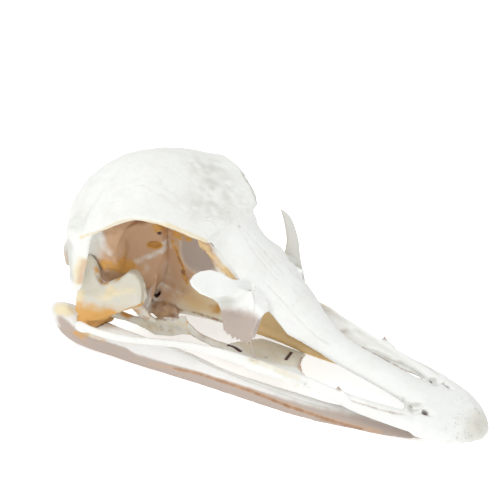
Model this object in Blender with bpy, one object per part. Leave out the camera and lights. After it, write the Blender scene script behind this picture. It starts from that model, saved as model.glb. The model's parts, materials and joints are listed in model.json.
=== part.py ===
"""Ostrich skull with its lower jaw, a still museum model at life size.

Sizes are millimetres in the skull's own measuring frame: X runs forward from
the back of the head to the tip of the bill, Y to the animal's left, and Z up
from the floor that the lower jaw lies on.  The last step turns them to metres
and puts the origin under the middle of the whole skull.

Every bone is a loft: rings of points, worked out from a few named sizes, are
bridged into a closed shape.  A bone of several lofts is fused and made even,
and a bone that meets another is cut back to leave a thin gap between them.
"""

import math

import bmesh
import bpy
from mathutils import Matrix, Vector

MM = 0.001
GAP = 0.36            # clearance left between two bones that meet
RIGHT = -1
LEFT = 1

# Driving sizes of the whole skull
SKULL_LENGTH = 199.3
CROWN_HEIGHT = 81.0
RIM_HALF_WIDTH = 40.5
BILL_HALF_WIDTH = 19.6
JAW_HALF_WIDTH = 34.1
SHELF_MIDDLE = 110.0  # where along the skull the palate shelf has its named heights
SHELF_EDGE = 5.0      # how far the shelf's inner edge stays from the midline there


# ---------------------------------------------------------------- profiles

def profile(knots, x):
    """Value at x of the smooth curve through (x, value) knots, held at its ends."""
    if x <= knots[0][0]:
        return knots[0][1]
    if x >= knots[-1][0]:
        return knots[-1][1]
    span = next(i for i in range(len(knots) - 1) if x <= knots[i + 1][0])
    (x0, y0), (x1, y1) = knots[span], knots[span + 1]
    width = x1 - x0
    rise = (y1 - y0) / width
    before = rise
    after = rise
    if span > 0:
        before = (y0 - knots[span - 1][1]) / (x0 - knots[span - 1][0])
    if span + 2 < len(knots):
        after = (knots[span + 2][1] - y1) / (knots[span + 2][0] - x1)
    start = 0.0 if before * rise <= 0 else 2 * before * rise / (before + rise)
    end = 0.0 if after * rise <= 0 else 2 * after * rise / (after + rise)
    if span == 0:
        start = rise
    if span + 2 == len(knots):
        end = rise
    t = (x - x0) / width
    return (
        y0 * (1 + 2 * t) * (1 - t) ** 2
        + y1 * t * t * (3 - 2 * t)
        + width * (start * t * (1 - t) ** 2 - end * t * t * (1 - t))
    )


def spread(first, last, count):
    """Evenly spaced values from first to last, both included."""
    return [first + (last - first) * i / (count - 1) for i in range(count)]


def oval(count, power):
    """Unit points (across, up) round a rounded box; power 2 is an ellipse."""
    points = []
    for i in range(count):
        angle = 2 * math.pi * i / count
        across = math.cos(angle)
        up = math.sin(angle)
        points.append((
            math.copysign(abs(across) ** (2 / power), across),
            math.copysign(abs(up) ** (2 / power), up),
        ))
    return points


# ------------------------------------------------------------------- lofts

def bridge(mesh, rings):
    """Adds one closed shape to a bmesh: rings of points joined in order, and two caps."""
    rows = [[mesh.verts.new(point) for point in ring] for ring in rings]
    count = len(rows[0])
    added = []
    for row, following in zip(rows, rows[1:]):
        for i in range(count):
            j = (i + 1) % count
            added.append(mesh.faces.new((row[i], row[j], following[j], following[i])))
    for row in (rows[0], rows[-1]):
        centre = sum((vert.co for vert in row), Vector()) / count
        middle = mesh.verts.new(centre)
        for i in range(count):
            added.append(mesh.faces.new((row[i], row[(i + 1) % count], middle)))
    bmesh.ops.recalc_face_normals(mesh, faces=added)


def strut(mesh, stations, across, rings=12, sides=12, power=2.0):
    """A bar through stations (x, y, z, half size across, half size the other way)."""
    along = list(range(len(stations)))
    lanes = [[(i, station[k]) for i, station in zip(along, stations)] for k in range(5)]
    places = spread(0, len(stations) - 1, rings)
    centres = [Vector([profile(lane, t) for lane in lanes[:3]]) for t in places]
    outline = oval(sides, power)
    made = []
    for i, t in enumerate(places):
        ahead = centres[min(i + 1, rings - 1)]
        behind = centres[max(i - 1, 0)]
        tangent = (ahead - behind).normalized()
        first = (Vector(across) - tangent * tangent.dot(Vector(across))).normalized()
        second = tangent.cross(first)
        half_first = profile(lanes[3], t)
        half_second = profile(lanes[4], t)
        made.append([
            centres[i] + first * (half_first * u) + second * (half_second * v)
            for u, v in outline
        ])
    bridge(mesh, made)


def beam(mesh, side, xs, outer, low, high, thick, lean, sides=14, power=2.6):
    """A bar along X from profiles: outer face, lower and upper edge, thickness, inward lean."""
    outline = oval(sides, power)
    rings = []
    for x in xs:
        half = profile(thick, x) / 2
        bottom = profile(low, x)
        top = profile(high, x)
        ring = []
        for u, v in outline:
            z = (top + bottom) / 2 + v * (top - bottom) / 2
            shift = profile(lean, x) * (v + 1) / 2
            y = profile(outer, x) - half + u * half - shift
            ring.append(Vector((x, side * y, max(z, 0.0))))
        rings.append(ring)
    bridge(mesh, rings)


def canopy(mesh, xs, width, crown, rim, middle, edge, power, count=17):
    """An arched plate along X, symmetrical in Y: half width, heights and thicknesses."""
    rings = []
    for x in xs:
        half = profile(width, x)
        top = profile(crown, x)
        drop = profile(rim, x) - top
        bend = profile(power, x)
        upper = []
        lower = []
        for u in spread(-1, 1, count):
            y = half * math.sin(u * math.pi / 2)
            share = abs(y / half)
            z = top + drop * share ** bend
            fade = (1 - share ** 2) ** 0.5 if share < 1 else 0.0
            depth = profile(edge, x) + (profile(middle, x) - profile(edge, x)) * fade
            upper.append(Vector((x, y, z)))
            lower.append(Vector((x, y * 0.985, z - depth)))
        rings.append(upper + lower[::-1])
    bridge(mesh, rings)


def shelf(mesh, side, xs, outer, inner, outer_height, inner_height, thick, sides=12):
    """A thin plate along X between an outer and an inner edge, at these heights."""
    outline = oval(sides, 4.0)
    rings = []
    for x in xs:
        far = profile(outer, x)
        near = profile(inner, x)
        slope = (outer_height - inner_height) / (profile(outer, SHELF_MIDDLE) - SHELF_EDGE)
        ring = []
        for u, v in outline:
            y = (far + near) / 2 + u * (far - near) / 2
            z = outer_height - (profile(outer, SHELF_MIDDLE) - y) * slope + v * thick / 2
            ring.append(Vector((x, side * y, z)))
        rings.append(ring)
    bridge(mesh, rings)


def ball(mesh, centre, radii, turn=0.0):
    """A closed ellipsoid, turned about Z by an angle in degrees."""
    shape = Matrix.Translation(centre) @ Matrix.Rotation(math.radians(turn), 4, "Z")
    shape = shape @ Matrix.Diagonal((*radii, 1.0))
    bmesh.ops.create_icosphere(mesh, subdivisions=3, radius=1.0, matrix=shape)


# ----------------------------------------------------------------- objects

def finish(colour, roughness):
    """A bone material of this colour."""
    material = bpy.data.materials.new("bone")
    material.use_nodes = True
    shader = material.node_tree.nodes["Principled BSDF"]
    shader.inputs["Base Color"].default_value = (*colour, 1.0)
    shader.inputs["Roughness"].default_value = roughness
    shader.inputs["Metallic"].default_value = 0.0
    return material


def solid(name, mesh, colour=(0.86, 0.86, 0.83), roughness=0.6):
    """Turns a bmesh of closed shapes into an object with its own material."""
    data = bpy.data.meshes.new(name)
    mesh.to_mesh(data)
    mesh.free()
    piece = bpy.data.objects.new(name, data)
    bpy.context.collection.objects.link(piece)
    data.materials.append(finish(colour, roughness))
    return piece


def apply(piece):
    """Replaces an object's mesh by what its modifiers make of it."""
    bpy.context.view_layer.update()
    graph = bpy.context.evaluated_depsgraph_get()
    made = bpy.data.meshes.new_from_object(piece.evaluated_get(graph))
    old = piece.data
    piece.modifiers.clear()
    piece.data = made
    bpy.data.meshes.remove(old)


def fuse(piece, grain, rounds, triangles):
    """Makes overlapping shapes one even skin of this grain, smooths it and thins it out."""
    remesh = piece.modifiers.new("one_skin", "REMESH")
    remesh.mode = "VOXEL"
    remesh.voxel_size = grain
    remesh.adaptivity = 0.0
    ease = piece.modifiers.new("ease", "SMOOTH")
    ease.iterations = rounds
    ease.factor = 0.5
    apply(piece)
    if triangles:
        count = sum(len(face.vertices) - 2 for face in piece.data.polygons)
        thin = piece.modifiers.new("thin", "DECIMATE")
        thin.ratio = min(1.0, triangles / count)
        thin.use_collapse_triangulate = True
        apply(piece)


def cut(piece, cutter, crossing=False):
    """Takes one shape out of another; crossing is for a cutter whose skin crosses itself."""
    boolean = piece.modifiers.new("cut", "BOOLEAN")
    boolean.operation = "DIFFERENCE"
    boolean.solver = "EXACT"
    boolean.use_self = crossing
    boolean.object = cutter
    apply(piece)
    data = cutter.data
    bpy.data.objects.remove(cutter)
    bpy.data.meshes.remove(data)


def grown(piece, distance):
    """A copy of an object, larger by this distance all round."""
    mesh = bmesh.new()
    mesh.from_mesh(piece.data)
    bmesh.ops.triangulate(mesh, faces=mesh.faces[:])
    mesh.normal_update()
    moves = [vert.normal * (distance * min(vert.calc_shell_factor(), 1.5)) for vert in mesh.verts]
    for vert, move in zip(mesh.verts, moves):
        vert.co += move
    return solid(piece.name + "_clearance", mesh)


def keep_largest(piece):
    """Drops the loose scraps that a cut leaves behind."""
    mesh = bmesh.new()
    mesh.from_mesh(piece.data)
    left = set(mesh.verts)
    bodies = []
    while left:
        reached = {left.pop()}
        edge = list(reached)
        while edge:
            vert = edge.pop()
            for link in vert.link_edges:
                other = link.other_vert(vert)
                if other in left:
                    left.discard(other)
                    reached.add(other)
                    edge.append(other)
        bodies.append(reached)
    largest = max(bodies, key=len)
    scraps = [vert for vert in mesh.verts if vert not in largest]
    bmesh.ops.delete(mesh, geom=scraps, context="VERTS")
    mesh.to_mesh(piece.data)
    mesh.free()


def give_way(piece, *neighbours):
    """Cuts a bone back so that it clears each neighbour by the gap."""
    for neighbour in neighbours:
        cut(piece, grown(neighbour, GAP), crossing=True)
    keep_largest(piece)


# ----------------------------------------------------------------- cranium

ROOF_WIDTH = (
    (34, 27), (38, 35), (42, RIM_HALF_WIDTH), (47, 39), (54, 36), (63, 31.8), (70, 29.2),
    (77, 25.8), (82, 23.2), (87, 18.9),
)
ROOF_CROWN = (
    (34, 77.5), (41, 80.3), (48, CROWN_HEIGHT), (54, 80.4), (62, 77.2), (71, 71.8), (79, 67.6),
    (87, 63.4), (91, 60.6), (96, 56.0), (102, 50.4), (108, 45.6), (114.8, 41.8), (119, 38.6),
)
ROOF_RIM = (
    (34, 60), (38, 59), (42, 61), (47, 65), (54, 69), (63, 72.4), (70, 71.8), (77, 69),
    (82, 66.4), (87, 62.4),
)
ROOF_BEND = ((34, 2.0), (54, 2.0), (66, 2.4), (87, 2.4))
NASAL_WIDTH = (
    (87, 16.4), (88, 15.6), (90, 13.6), (93, 13.6), (96.5, 14.1), (100.8, 15.7), (104, 15.6),
    (108, 14.6), (113, 13.0), (119, 13.0),
)
NASAL_RIM = (
    (87, 61.5), (88, 60.3), (90, 56.0), (93, 52.6), (96.5, 49.8), (100.8, 47.2), (104, 43.6),
    (108, 40.2), (111.4, 37.5), (114.7, 34.3), (119, 29.4),
)
VAULT_X = (8, 9.5, 12, 15, 19, 24, 30, 36, 41, 45, 49, 52.5, 55)
VAULT_WIDTH = (
    (8, 4.5), (9.5, 9), (12, 13.2), (16, 17.6), (21, 22), (28, 26.5), (36, 28.5), (42, 27.5),
    (49, 19), (55, 7),
)
VAULT_TOP = (
    (8, 47), (9.5, 52.5), (12, 57.8), (16, 63.4), (21, 68.8), (28, 74.6), (36, 78.8), (42, 80.2),
    (49, 80.0), (55, 78),
)
VAULT_LOW = ((8, 40), (9.5, 35), (12, 30), (16, 25), (21, 21), (30, 17.5), (45, 18), (52, 24), (55, 34))
VAULT_WIDEST = ((8, 42), (16, 45), (24, 49), (34, 54), (45, 56), (55, 58))


def vault(mesh):
    """The brain's bulge, widest above its middle and rounded at both ends."""
    rings = []
    for x in VAULT_X:
        half = profile(VAULT_WIDTH, x)
        top = profile(VAULT_TOP, x)
        low = profile(VAULT_LOW, x)
        widest = profile(VAULT_WIDEST, x)
        ring = []
        for u, v in oval(28, 2.1):
            reach = top - widest if v > 0 else widest - low
            ring.append(Vector((x, half * u, widest + reach * v)))
        rings.append(ring)
    bridge(mesh, rings)


def cranium():
    """Braincase, forehead and the wide brows over the orbits, one bone in the adult."""
    mesh = bmesh.new()
    vault(mesh)
    canopy(
        mesh, spread(34, 86.9, 28), ROOF_WIDTH, ROOF_CROWN, ROOF_RIM,
        middle=((34, 14), (50, 9), (66, 5), (87, 3.4)), edge=((34, 1.3), (87, 1.1)),
        power=ROOF_BEND, count=33,
    )
    ball(mesh, (10.6, 0, 25.6), (3.6, 3.4, 3.0))
    strut(mesh, ((24, 0, 20, 13, 4), (38, 0, 17.6, 10.5, 4.6), (49, 0, 16.8, 7.2, 6.4)), (0, 1, 0))
    for side in (RIGHT, LEFT):
        strut(mesh, (
            (40.0, side * 38.0, 62, 6.4, 2.0),
            (38.6, side * 38.0, 54, 5.6, 1.7),
            (36.6, side * 37.4, 44, 4.4, 1.5),
            (34.6, side * 36.6, 36, 3.4, 1.4),
            (33.8, side * 36.2, 32, 1.8, 1.0),
        ), (1, 0, 0), rings=16)
        strut(mesh, (
            (30, side * 22, 57, 6, 4),
            (33, side * 30, 59, 5, 3.5),
            (38, side * 37.5, 60.5, 4, 1.6),
        ), (1, 0, 0.2), rings=10)
        strut(mesh, (
            (21, side * 17.0, 44, 4.0, 4.0),
            (17.6, side * 20.4, 38, 2.6, 2.8),
            (17.8, side * 21.4, 31, 1.6, 1.6),
        ), (1, 0, 0), rings=10)
        strut(mesh, (
            (23, side * 20.5, 46, 4, 2.5),
            (28, side * 25.5, 45.5, 4, 2.6),
            (34, side * 29.0, 47.5, 2.6, 2.0),
        ), (0, 0, 1), rings=10)
        strut(mesh, (
            (45, side * 5, 17.0, 2.6, 3),
            (49, side * 9.6, 15.6, 2.2, 2.2),
            (51.5, side * 13.6, 13.6, 1.6, 1.6),
        ), (0, 0, 1), rings=8)
    piece = solid("cranium", mesh, (0.88, 0.88, 0.85), 0.55)
    fuse(piece, 0.62, 2, 0)
    for side in (RIGHT, LEFT):
        hollow = bmesh.new()
        ball(hollow, (64, side * 19.5, 44), (19.5, 16.5, 23), side * 12)
        cut(piece, solid("orbit_hollow", hollow))
        ear = bmesh.new()
        ball(ear, (25, side * 25.5, 36), (5.5, 6.5, 6.5))
        cut(piece, solid("ear_hollow", ear))
    hole = bmesh.new()
    ball(hole, (8.0, 0, 34.2), (8, 5.6, 5.6))
    cut(piece, solid("spinal_hole", hole))
    fuse(piece, 0.6, 3, 2360)
    keep_largest(piece)
    return piece


def orbital_septum():
    """The thin wall between the orbits, with the rod that runs forward from its foot."""
    mesh = bmesh.new()
    rings = []
    for x in spread(45, 119, 24):
        top = profile(((45, 74), (60, 73), (72, 67), (86, 59), (94, 51), (104, 39), (112, 27), (119, 18)), x)
        low = profile(((45, 20), (60, 16.5), (80, 16), (110, 15.5), (119, 14.5)), x)
        half = profile(((45, 2.6), (56, 1.2), (80, 1.0), (92, 1.6), (104, 1.6), (119, 0.9)), x)
        rings.append([
            Vector((x, half * u, (top + low) / 2 + (top - low) / 2 * v)) for u, v in oval(16, 4)
        ])
    bridge(mesh, rings)
    strut(mesh, (
        (47, 0, 16.8, 7.2, 6.4),
        (57, 0, 15.8, 6.0, 5.6),
        (68, 0, 15.9, 4.0, 4.2),
        (82, 0, 16.2, 2.9, 3.2),
        (104, 0, 16.6, 2.3, 2.9),
        (118, 0, 14.9, 1.9, 2.3),
        (130, 0, 13.6, 1.3, 1.3),
        (139, 0, 13.2, 0.7, 0.7),
    ), (0, 1, 0), rings=24)
    piece = solid("orbital_septum", mesh, (0.72, 0.62, 0.48), 0.6)
    fuse(piece, 0.45, 2, 420)
    return piece


# -------------------------------------------------------------- upper bill

def nasals():
    """The sloping bridge of bone from the forehead to the root of the bill."""
    mesh = bmesh.new()
    canopy(
        mesh, spread(87.3, 118.6, 13), NASAL_WIDTH, ROOF_CROWN, NASAL_RIM,
        middle=((87, 3.4), (118.6, 3.6)), edge=((87, 1.2), (118.6, 1.6)),
        power=((87, 2.0), (96, 1.8), (106, 2.4), (119, 2.4)), count=15,
    )
    for side in (RIGHT, LEFT):
        strut(mesh, (
            (108.4, side * 13.6, 41.0, 3.4, 1.2),
            (108.4, side * 16.2, 36.4, 2.6, 1.0),
            (109.0, side * 19.6, 32.0, 1.9, 0.9),
            (109.9, side * 22.6, 28.8, 1.2, 0.8),
        ), (1, 0, 0), rings=10, sides=10)
    piece = solid("nasals", mesh, (0.9, 0.9, 0.87), 0.55)
    fuse(piece, 0.4, 1, 480)
    return piece


BILL_CROWN = (
    (118.9, 38.6), (122, 36.2), (126, 32.2), (131, 28.0), (138, 23.6), (145, 21.2), (153, 19.8), (160, 18.4),
    (166, 16.9), (172, 15.7), (178, 14.2), (184, 12.7), (190, 10.9), (195, 8.8), (198, 6.8), (199.3, 5.4),
)


def premaxilla():
    """The long ridge of the bill and the broad rounded tip that it ends in."""
    mesh = bmesh.new()
    canopy(
        mesh, spread(118.9, 180, 28),
        width=((118.9, 13), (124, 10.4), (132, 8.2), (140, 7.3), (160, 7.3), (170, 8), (180, 10)),
        crown=BILL_CROWN,
        rim=(
            (118.9, 29.6), (124, 26.2), (132, 22.2), (140, 19.2), (149, 17.4), (156, 15.9),
            (166, 13.6), (180, 10.6),
        ),
        middle=((118.9, 3.6), (132, 4.2), (160, 4.2), (180, 5)),
        edge=((118.9, 1.6), (132, 1.3), (180, 1.4)),
        power=((118.9, 2.4), (130, 2.4), (180, 2.4)), count=15,
    )
    rings = []
    for x in (175.8, 176.6, 178, 181, 185, 189, 192.5, 195.3, 197.4, 198.7, SKULL_LENGTH):
        half = profile((
            (175.8, 17.6), (176.6, 18.7), (181, 17.9), (185, 16.6), (189, 14.4), (192.5, 11.7),
            (195.3, 8.9), (197.4, 6.2), (198.7, 3.8), (SKULL_LENGTH, 1.6),
        ), x)
        top = profile(BILL_CROWN, x)
        low = profile(((168, 9.4), (175, 6.2), (182, 5.2), (192, 4.9), (198, 4.6), (199.3, 4.3)), x)
        waist = profile(((168, 10.6), (180, 7.4), (190, 6.3), (199.3, 4.8)), x)
        ring = []
        for u, v in oval(20, 2.3):
            reach = top - waist if v > 0 else waist - low
            ring.append(Vector((x, half * u, waist + reach * v)))
        rings.append(ring)
    bridge(mesh, rings)
    piece = solid("premaxilla", mesh, (0.9, 0.89, 0.85), 0.55)
    fuse(piece, 0.45, 2, 720)
    return piece


def maxilla(side):
    """The lower edge of the bill on one side, with the shelf of the palate inside it."""
    mesh = bmesh.new()
    beam(
        mesh, side, spread(109.4, 175.4, 26),
        outer=(
            (109.4, 26.2), (118, 25.2), (128, 23.2), (136, 22.0), (144, 21.2), (152, 20.7),
            (160, 20.2), (168, BILL_HALF_WIDTH), (175.4, 18.9),
        ),
        low=(
            (109.4, 15.2), (118, 15.0), (128, 14.8), (136, 13.4), (144, 11.2), (152, 9.4), (160, 8.5),
            (175, 7.4),
        ),
        high=(
            (109.4, 21.6), (118, 20.6), (128, 19.0), (136, 17.9), (144, 16.4), (152, 15.2), (160, 14.2),
            (175, 12.8),
        ),
        thick=((109.4, 2.4), (128, 2.2), (144, 2.6), (152, 3.2), (160, 4.8), (168, 6.4), (175, 7.2)),
        lean=((109.4, 0.6), (128, 0.8), (152, 1.4), (175, 1.6)),
    )
    shelf(
        mesh, side, spread(95, 131.5, 20),
        outer=((95, 21.6), (104, 22.6), (110, 23.6), (131.5, 22.6)),
        inner=((95, 17), (97, 9.5), (103, 6.2), (119, 5.4), (123, 8.0), (127, 14), (131.5, 20.6)),
        outer_height=17.4, inner_height=13.4, thick=1.5,
    )
    name = "maxilla_left" if side == LEFT else "maxilla_right"
    piece = solid(name, mesh, (0.88, 0.87, 0.83), 0.6)
    fuse(piece, 0.4, 2, 460)
    return piece


def jugal(side):
    """The thin cheek bar from the quadrate to the maxilla."""
    mesh = bmesh.new()
    strut(mesh, (
        (35.0, side * 36.6, 15.6, 1.1, 2.0),
        (42, side * 36.4, 15.2, 1.2, 1.9),
        (54, side * 34.8, 15.4, 1.2, 1.8),
        (70, side * 31.4, 17.4, 1.2, 1.7),
        (86, side * 27.9, 19.1, 1.2, 2.0),
        (100, side * 25.8, 19.0, 1.1, 2.6),
        (109, side * 24.9, 18.5, 1.1, 3.1),
    ), (0, 1, 0), rings=13, sides=8)
    name = "jugal_left" if side == LEFT else "jugal_right"
    return solid(name, mesh, (0.88, 0.87, 0.83), 0.6)


def lacrimal(side):
    """The horn of bone over the front of the orbit and the plate that hangs below it."""
    mesh = bmesh.new()
    strut(mesh, (
        (104, side * 16.0, 45.5, 4.2, 1.6),
        (99.5, side * 21.5, 48.0, 4.2, 1.5),
        (95.0, side * 26.8, 50.6, 4.6, 1.2),
        (91.6, side * 30.8, 52.6, 4.2, 1.0),
        (89.3, side * 33.2, 53.8, 2.0, 0.8),
    ), (0, side * 0.73, -0.68), rings=18, sides=12)
    strut(mesh, (
        (104.4, side * 15.2, 45.5, 5.4, 1.3),
        (104.2, side * 17.4, 39.5, 6.2, 1.1),
        (103.8, side * 20.6, 33.5, 6.6, 0.9),
        (104.6, side * 23.2, 28.6, 5.4, 0.7),
    ), (1, 0, 0), rings=14, sides=14, power=2.6)
    strut(mesh, (
        (108.6, side * 23.8, 31.0, 0.9, 0.8),
        (110.4, side * 24.3, 26.0, 0.8, 0.8),
        (111.4, side * 24.6, 20.0, 0.8, 0.8),
    ), (1, 0, 0), rings=8, sides=8)
    name = "lacrimal_left" if side == LEFT else "lacrimal_right"
    piece = solid(name, mesh, (0.92, 0.92, 0.9), 0.55)
    fuse(piece, 0.36, 2, 310)
    return piece


# ------------------------------------------------------------------ palate

def quadrate(side):
    """The block that hangs the lower jaw, with its ear, orbit and jaw knobs."""
    mesh = bmesh.new()
    ball(mesh, (40, side * 30.5, 25), (8.2, 4.4, 8.2), side * -20)
    strut(mesh, (
        (39, side * 31, 25, 4.6, 4.2),
        (37, side * 29.5, 35, 3.8, 3.4),
        (35, side * 27, 43.5, 3.8, 3.4),
        (34.6, side * 26.4, 46, 2.4, 2.2),
    ), (1, 0, 0), rings=12)
    strut(mesh, (
        (41, side * 30, 26, 7.5, 3.4),
        (48, side * 27.4, 29.4, 7.6, 2.6),
        (54, side * 24.8, 32.2, 8.0, 2.0),
        (58, side * 23.0, 33.2, 6.0, 1.3),
        (59.6, side * 22.4, 33.4, 3.0, 0.9),
    ), (0, 0, 1), rings=14)
    strut(mesh, (
        (33.0, side * 35.6, 15.6, 2.6, 2.6),
        (34.2, side * 33.6, 15.6, 4.6, 4.0),
        (37, side * 28.0, 16.4, 4.6, 3.8),
        (39, side * 22.6, 15.0, 4.0, 3.8),
        (39.8, side * 20.6, 14.8, 2.0, 2.0),
    ), (1, 0.3, 0), rings=14)
    name = "quadrate_left" if side == LEFT else "quadrate_right"
    piece = solid(name, mesh, (0.84, 0.78, 0.66), 0.6)
    fuse(piece, 0.5, 3, 310)
    return piece


def pterygoid(side):
    """The short bar from the quadrate to the palatine, past the base of the skull."""
    mesh = bmesh.new()
    strut(mesh, (
        (40.5, side * 21.8, 13.6, 1.6, 2.0),
        (47, side * 18.6, 11.2, 1.6, 2.4),
        (54, side * 16.0, 10.6, 1.5, 3.2),
        (60, side * 14.2, 11.4, 1.4, 3.8),
        (64.6, side * 13.0, 12.4, 1.3, 3.6),
    ), (0, 1, 0), rings=8, sides=8)
    name = "pterygoid_left" if side == LEFT else "pterygoid_right"
    return solid(name, mesh, (0.9, 0.88, 0.84), 0.6)


def palatine(side):
    """The long thin bar of the palate from the pterygoid to the maxilla."""
    mesh = bmesh.new()
    strut(mesh, (
        (65.0, side * 12.9, 12.6, 1.3, 3.6),
        (69.0, side * 12.2, 14.0, 1.3, 3.9),
        (72.5, side * 12.0, 13.4, 1.3, 3.2),
        (76.5, side * 12.0, 11.6, 1.4, 1.7),
        (86.0, side * 12.2, 10.8, 1.8, 1.2),
        (97.0, side * 12.4, 12.0, 1.8, 1.1),
        (108, side * 12.4, 14.0, 1.6, 1.0),
    ), (0, 1, 0.3), rings=12, sides=8)
    name = "palatine_left" if side == LEFT else "palatine_right"
    return solid(name, mesh, (0.88, 0.85, 0.8), 0.6)


# -------------------------------------------------------------- lower jaw

JAW_OUTER = (
    (14.5, 32.2), (18, 33.6), (26, JAW_HALF_WIDTH), (34, 33.9), (43.5, 32.1), (63, 30.3), (86, 27.6),
    (110, 25.9), (132, 24.2), (151, 20.0), (163, 17.2), (174.4, 13.6),
)
JAW_LOW = ((14.5, 12.5), (17, 7.5), (21, 3.0), (27, 0.2), (34, -0.5), (130, -0.5), (160, -0.3), (174.4, 0.3))
JAW_HIGH = (
    (14.5, 15.5), (18, 18.8), (22, 19.6), (27, 16.5), (33, 14.0), (42, 14.6), (50, 15.0), (66, 14.4), (78, 13.4),
    (90, 10.6), (110, 8.2), (130, 6.8), (150, 5.4), (163, 4.7), (174.4, 4.2),
)
JAW_THICK = (
    (14.5, 2.4), (20, 4.2), (26, 8.5), (33, 12), (39, 9), (46, 4.6), (60, 3.6), (100, 3.4),
    (125, 3.6), (150, 3.6), (174.4, 3.8),
)
JAW_LEAN = ((14.5, 0.4), (40, 0.6), (90, 1.2), (110, 2.6), (130, 4.4), (155, 5.0), (174.4, 4.6))


def mandible(side):
    """One side of the lower jaw, from the knob behind the joint to near the tip."""
    mesh = bmesh.new()
    stations = [14.5, 15.6, 17.5, 20.5, 24, 27.5, 31, 34.5, 38, 42]
    stations += spread(48, 174.4, 12)
    beam(mesh, side, stations, JAW_OUTER, JAW_LOW, JAW_HIGH, JAW_THICK, JAW_LEAN, sides=12)
    name = "mandible_left" if side == LEFT else "mandible_right"
    return solid(name, mesh, (0.8, 0.76, 0.74), 0.6)


def mandible_tip():
    """The flat rounded chin where the two sides of the lower jaw meet."""
    mesh = bmesh.new()
    canopy(
        mesh, [174.8, 178.5, 183, 187, 190, 192, 193],
        width=((174.8, 12.3), (181, 10), (187, 7.3), (191.3, 4.2), (193, 1.2)),
        crown=((174.8, 2.6), (184, 3.2), (193, 3.2)),
        rim=((174.8, 3.9), (184, 3.9), (193, 3.3)),
        middle=((174.8, 2.2), (193, 1.6)), edge=((174.8, 3.2), (193, 1.4)),
        power=((174.8, 2.0), (193, 2.0)), count=11,
    )
    return solid("mandible_tip", mesh, (0.86, 0.82, 0.78), 0.6)


# ----------------------------------------------------------------- assembly

def settle(pieces):
    """Turns millimetres to metres, with the origin under the middle of the skull."""
    corners = [vert.co for piece in pieces for vert in piece.data.vertices]
    middle_x = (min(c.x for c in corners) + max(c.x for c in corners)) / 2
    floor = min(c.z for c in corners)
    place = Matrix.Scale(MM, 4) @ Matrix.Translation((-middle_x, 0, -floor))
    for piece in pieces:
        piece.data.transform(place)
        piece.data.shade_smooth()
        piece.data.set_sharp_from_angle(angle=math.radians(45))


def build():
    """Makes every bone, clears each one from its neighbours and sets it in place."""
    for old in list(bpy.data.objects):
        bpy.data.objects.remove(old)
    skull = cranium()
    bridge_of_nose = nasals()
    septum = orbital_septum()
    bill = premaxilla()
    give_way(bridge_of_nose, skull)
    give_way(septum, skull, bridge_of_nose)
    give_way(bill, bridge_of_nose)
    pieces = [skull, bridge_of_nose, septum, bill]
    chin = mandible_tip()
    for side in (RIGHT, LEFT):
        horn = lacrimal(side)
        give_way(horn, bridge_of_nose)
        block = quadrate(side)
        give_way(block, skull)
        wing = pterygoid(side)
        give_way(wing, block, skull, septum)
        roof = palatine(side)
        give_way(roof, wing, septum)
        edge = maxilla(side)
        give_way(edge, bill, horn, roof, septum)
        cheek = jugal(side)
        give_way(cheek, block, edge, horn)
        jaw = mandible(side)
        give_way(jaw, block, cheek)
        give_way(chin, jaw)
        pieces += [horn, block, wing, roof, edge, cheek, jaw]
    pieces.append(chin)
    settle(pieces)


build()
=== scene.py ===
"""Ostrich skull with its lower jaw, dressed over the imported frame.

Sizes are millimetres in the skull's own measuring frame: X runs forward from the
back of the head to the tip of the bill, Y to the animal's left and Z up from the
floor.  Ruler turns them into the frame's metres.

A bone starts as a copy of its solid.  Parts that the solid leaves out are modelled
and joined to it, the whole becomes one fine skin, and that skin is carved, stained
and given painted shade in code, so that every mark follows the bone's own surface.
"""

from __future__ import annotations

import json
import logging
import math
from contextlib import contextmanager
from dataclasses import dataclass
from enum import Enum
from functools import cached_property
from itertools import product
from typing import Iterable, Iterator, Sequence

import bmesh
import bpy
import numpy as np
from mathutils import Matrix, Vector
from mathutils.bvhtree import BVHTree

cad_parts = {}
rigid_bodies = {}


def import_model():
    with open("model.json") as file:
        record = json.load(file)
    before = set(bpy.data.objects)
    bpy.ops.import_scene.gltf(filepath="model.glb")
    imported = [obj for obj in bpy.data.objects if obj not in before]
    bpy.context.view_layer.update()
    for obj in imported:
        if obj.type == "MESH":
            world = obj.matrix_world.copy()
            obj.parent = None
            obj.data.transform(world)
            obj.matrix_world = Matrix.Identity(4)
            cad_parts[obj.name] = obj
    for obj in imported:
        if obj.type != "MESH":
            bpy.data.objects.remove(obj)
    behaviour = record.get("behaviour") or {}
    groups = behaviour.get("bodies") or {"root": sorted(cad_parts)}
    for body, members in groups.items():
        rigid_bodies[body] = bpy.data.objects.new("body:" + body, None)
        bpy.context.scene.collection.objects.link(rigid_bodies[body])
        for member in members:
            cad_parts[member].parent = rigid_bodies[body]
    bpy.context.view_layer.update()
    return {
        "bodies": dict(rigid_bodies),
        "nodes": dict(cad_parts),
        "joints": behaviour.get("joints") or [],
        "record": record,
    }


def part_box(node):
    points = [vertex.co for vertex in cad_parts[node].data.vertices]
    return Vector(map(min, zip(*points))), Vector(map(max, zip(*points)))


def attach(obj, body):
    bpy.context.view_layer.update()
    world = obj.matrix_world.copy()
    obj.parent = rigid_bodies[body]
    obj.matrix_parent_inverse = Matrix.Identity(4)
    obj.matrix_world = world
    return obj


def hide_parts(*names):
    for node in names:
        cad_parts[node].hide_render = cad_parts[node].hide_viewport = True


LOG = logging.getLogger("ostrich_skull")

Point = tuple[float, float, float]
Station = tuple[float, float, float, float, float]
Outline = tuple[Point, ...]
Run = tuple[Station, ...]
Array = np.ndarray
Weight = np.ndarray | float
Object = bpy.types.Object
Socket = bpy.types.NodeSocket

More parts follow.
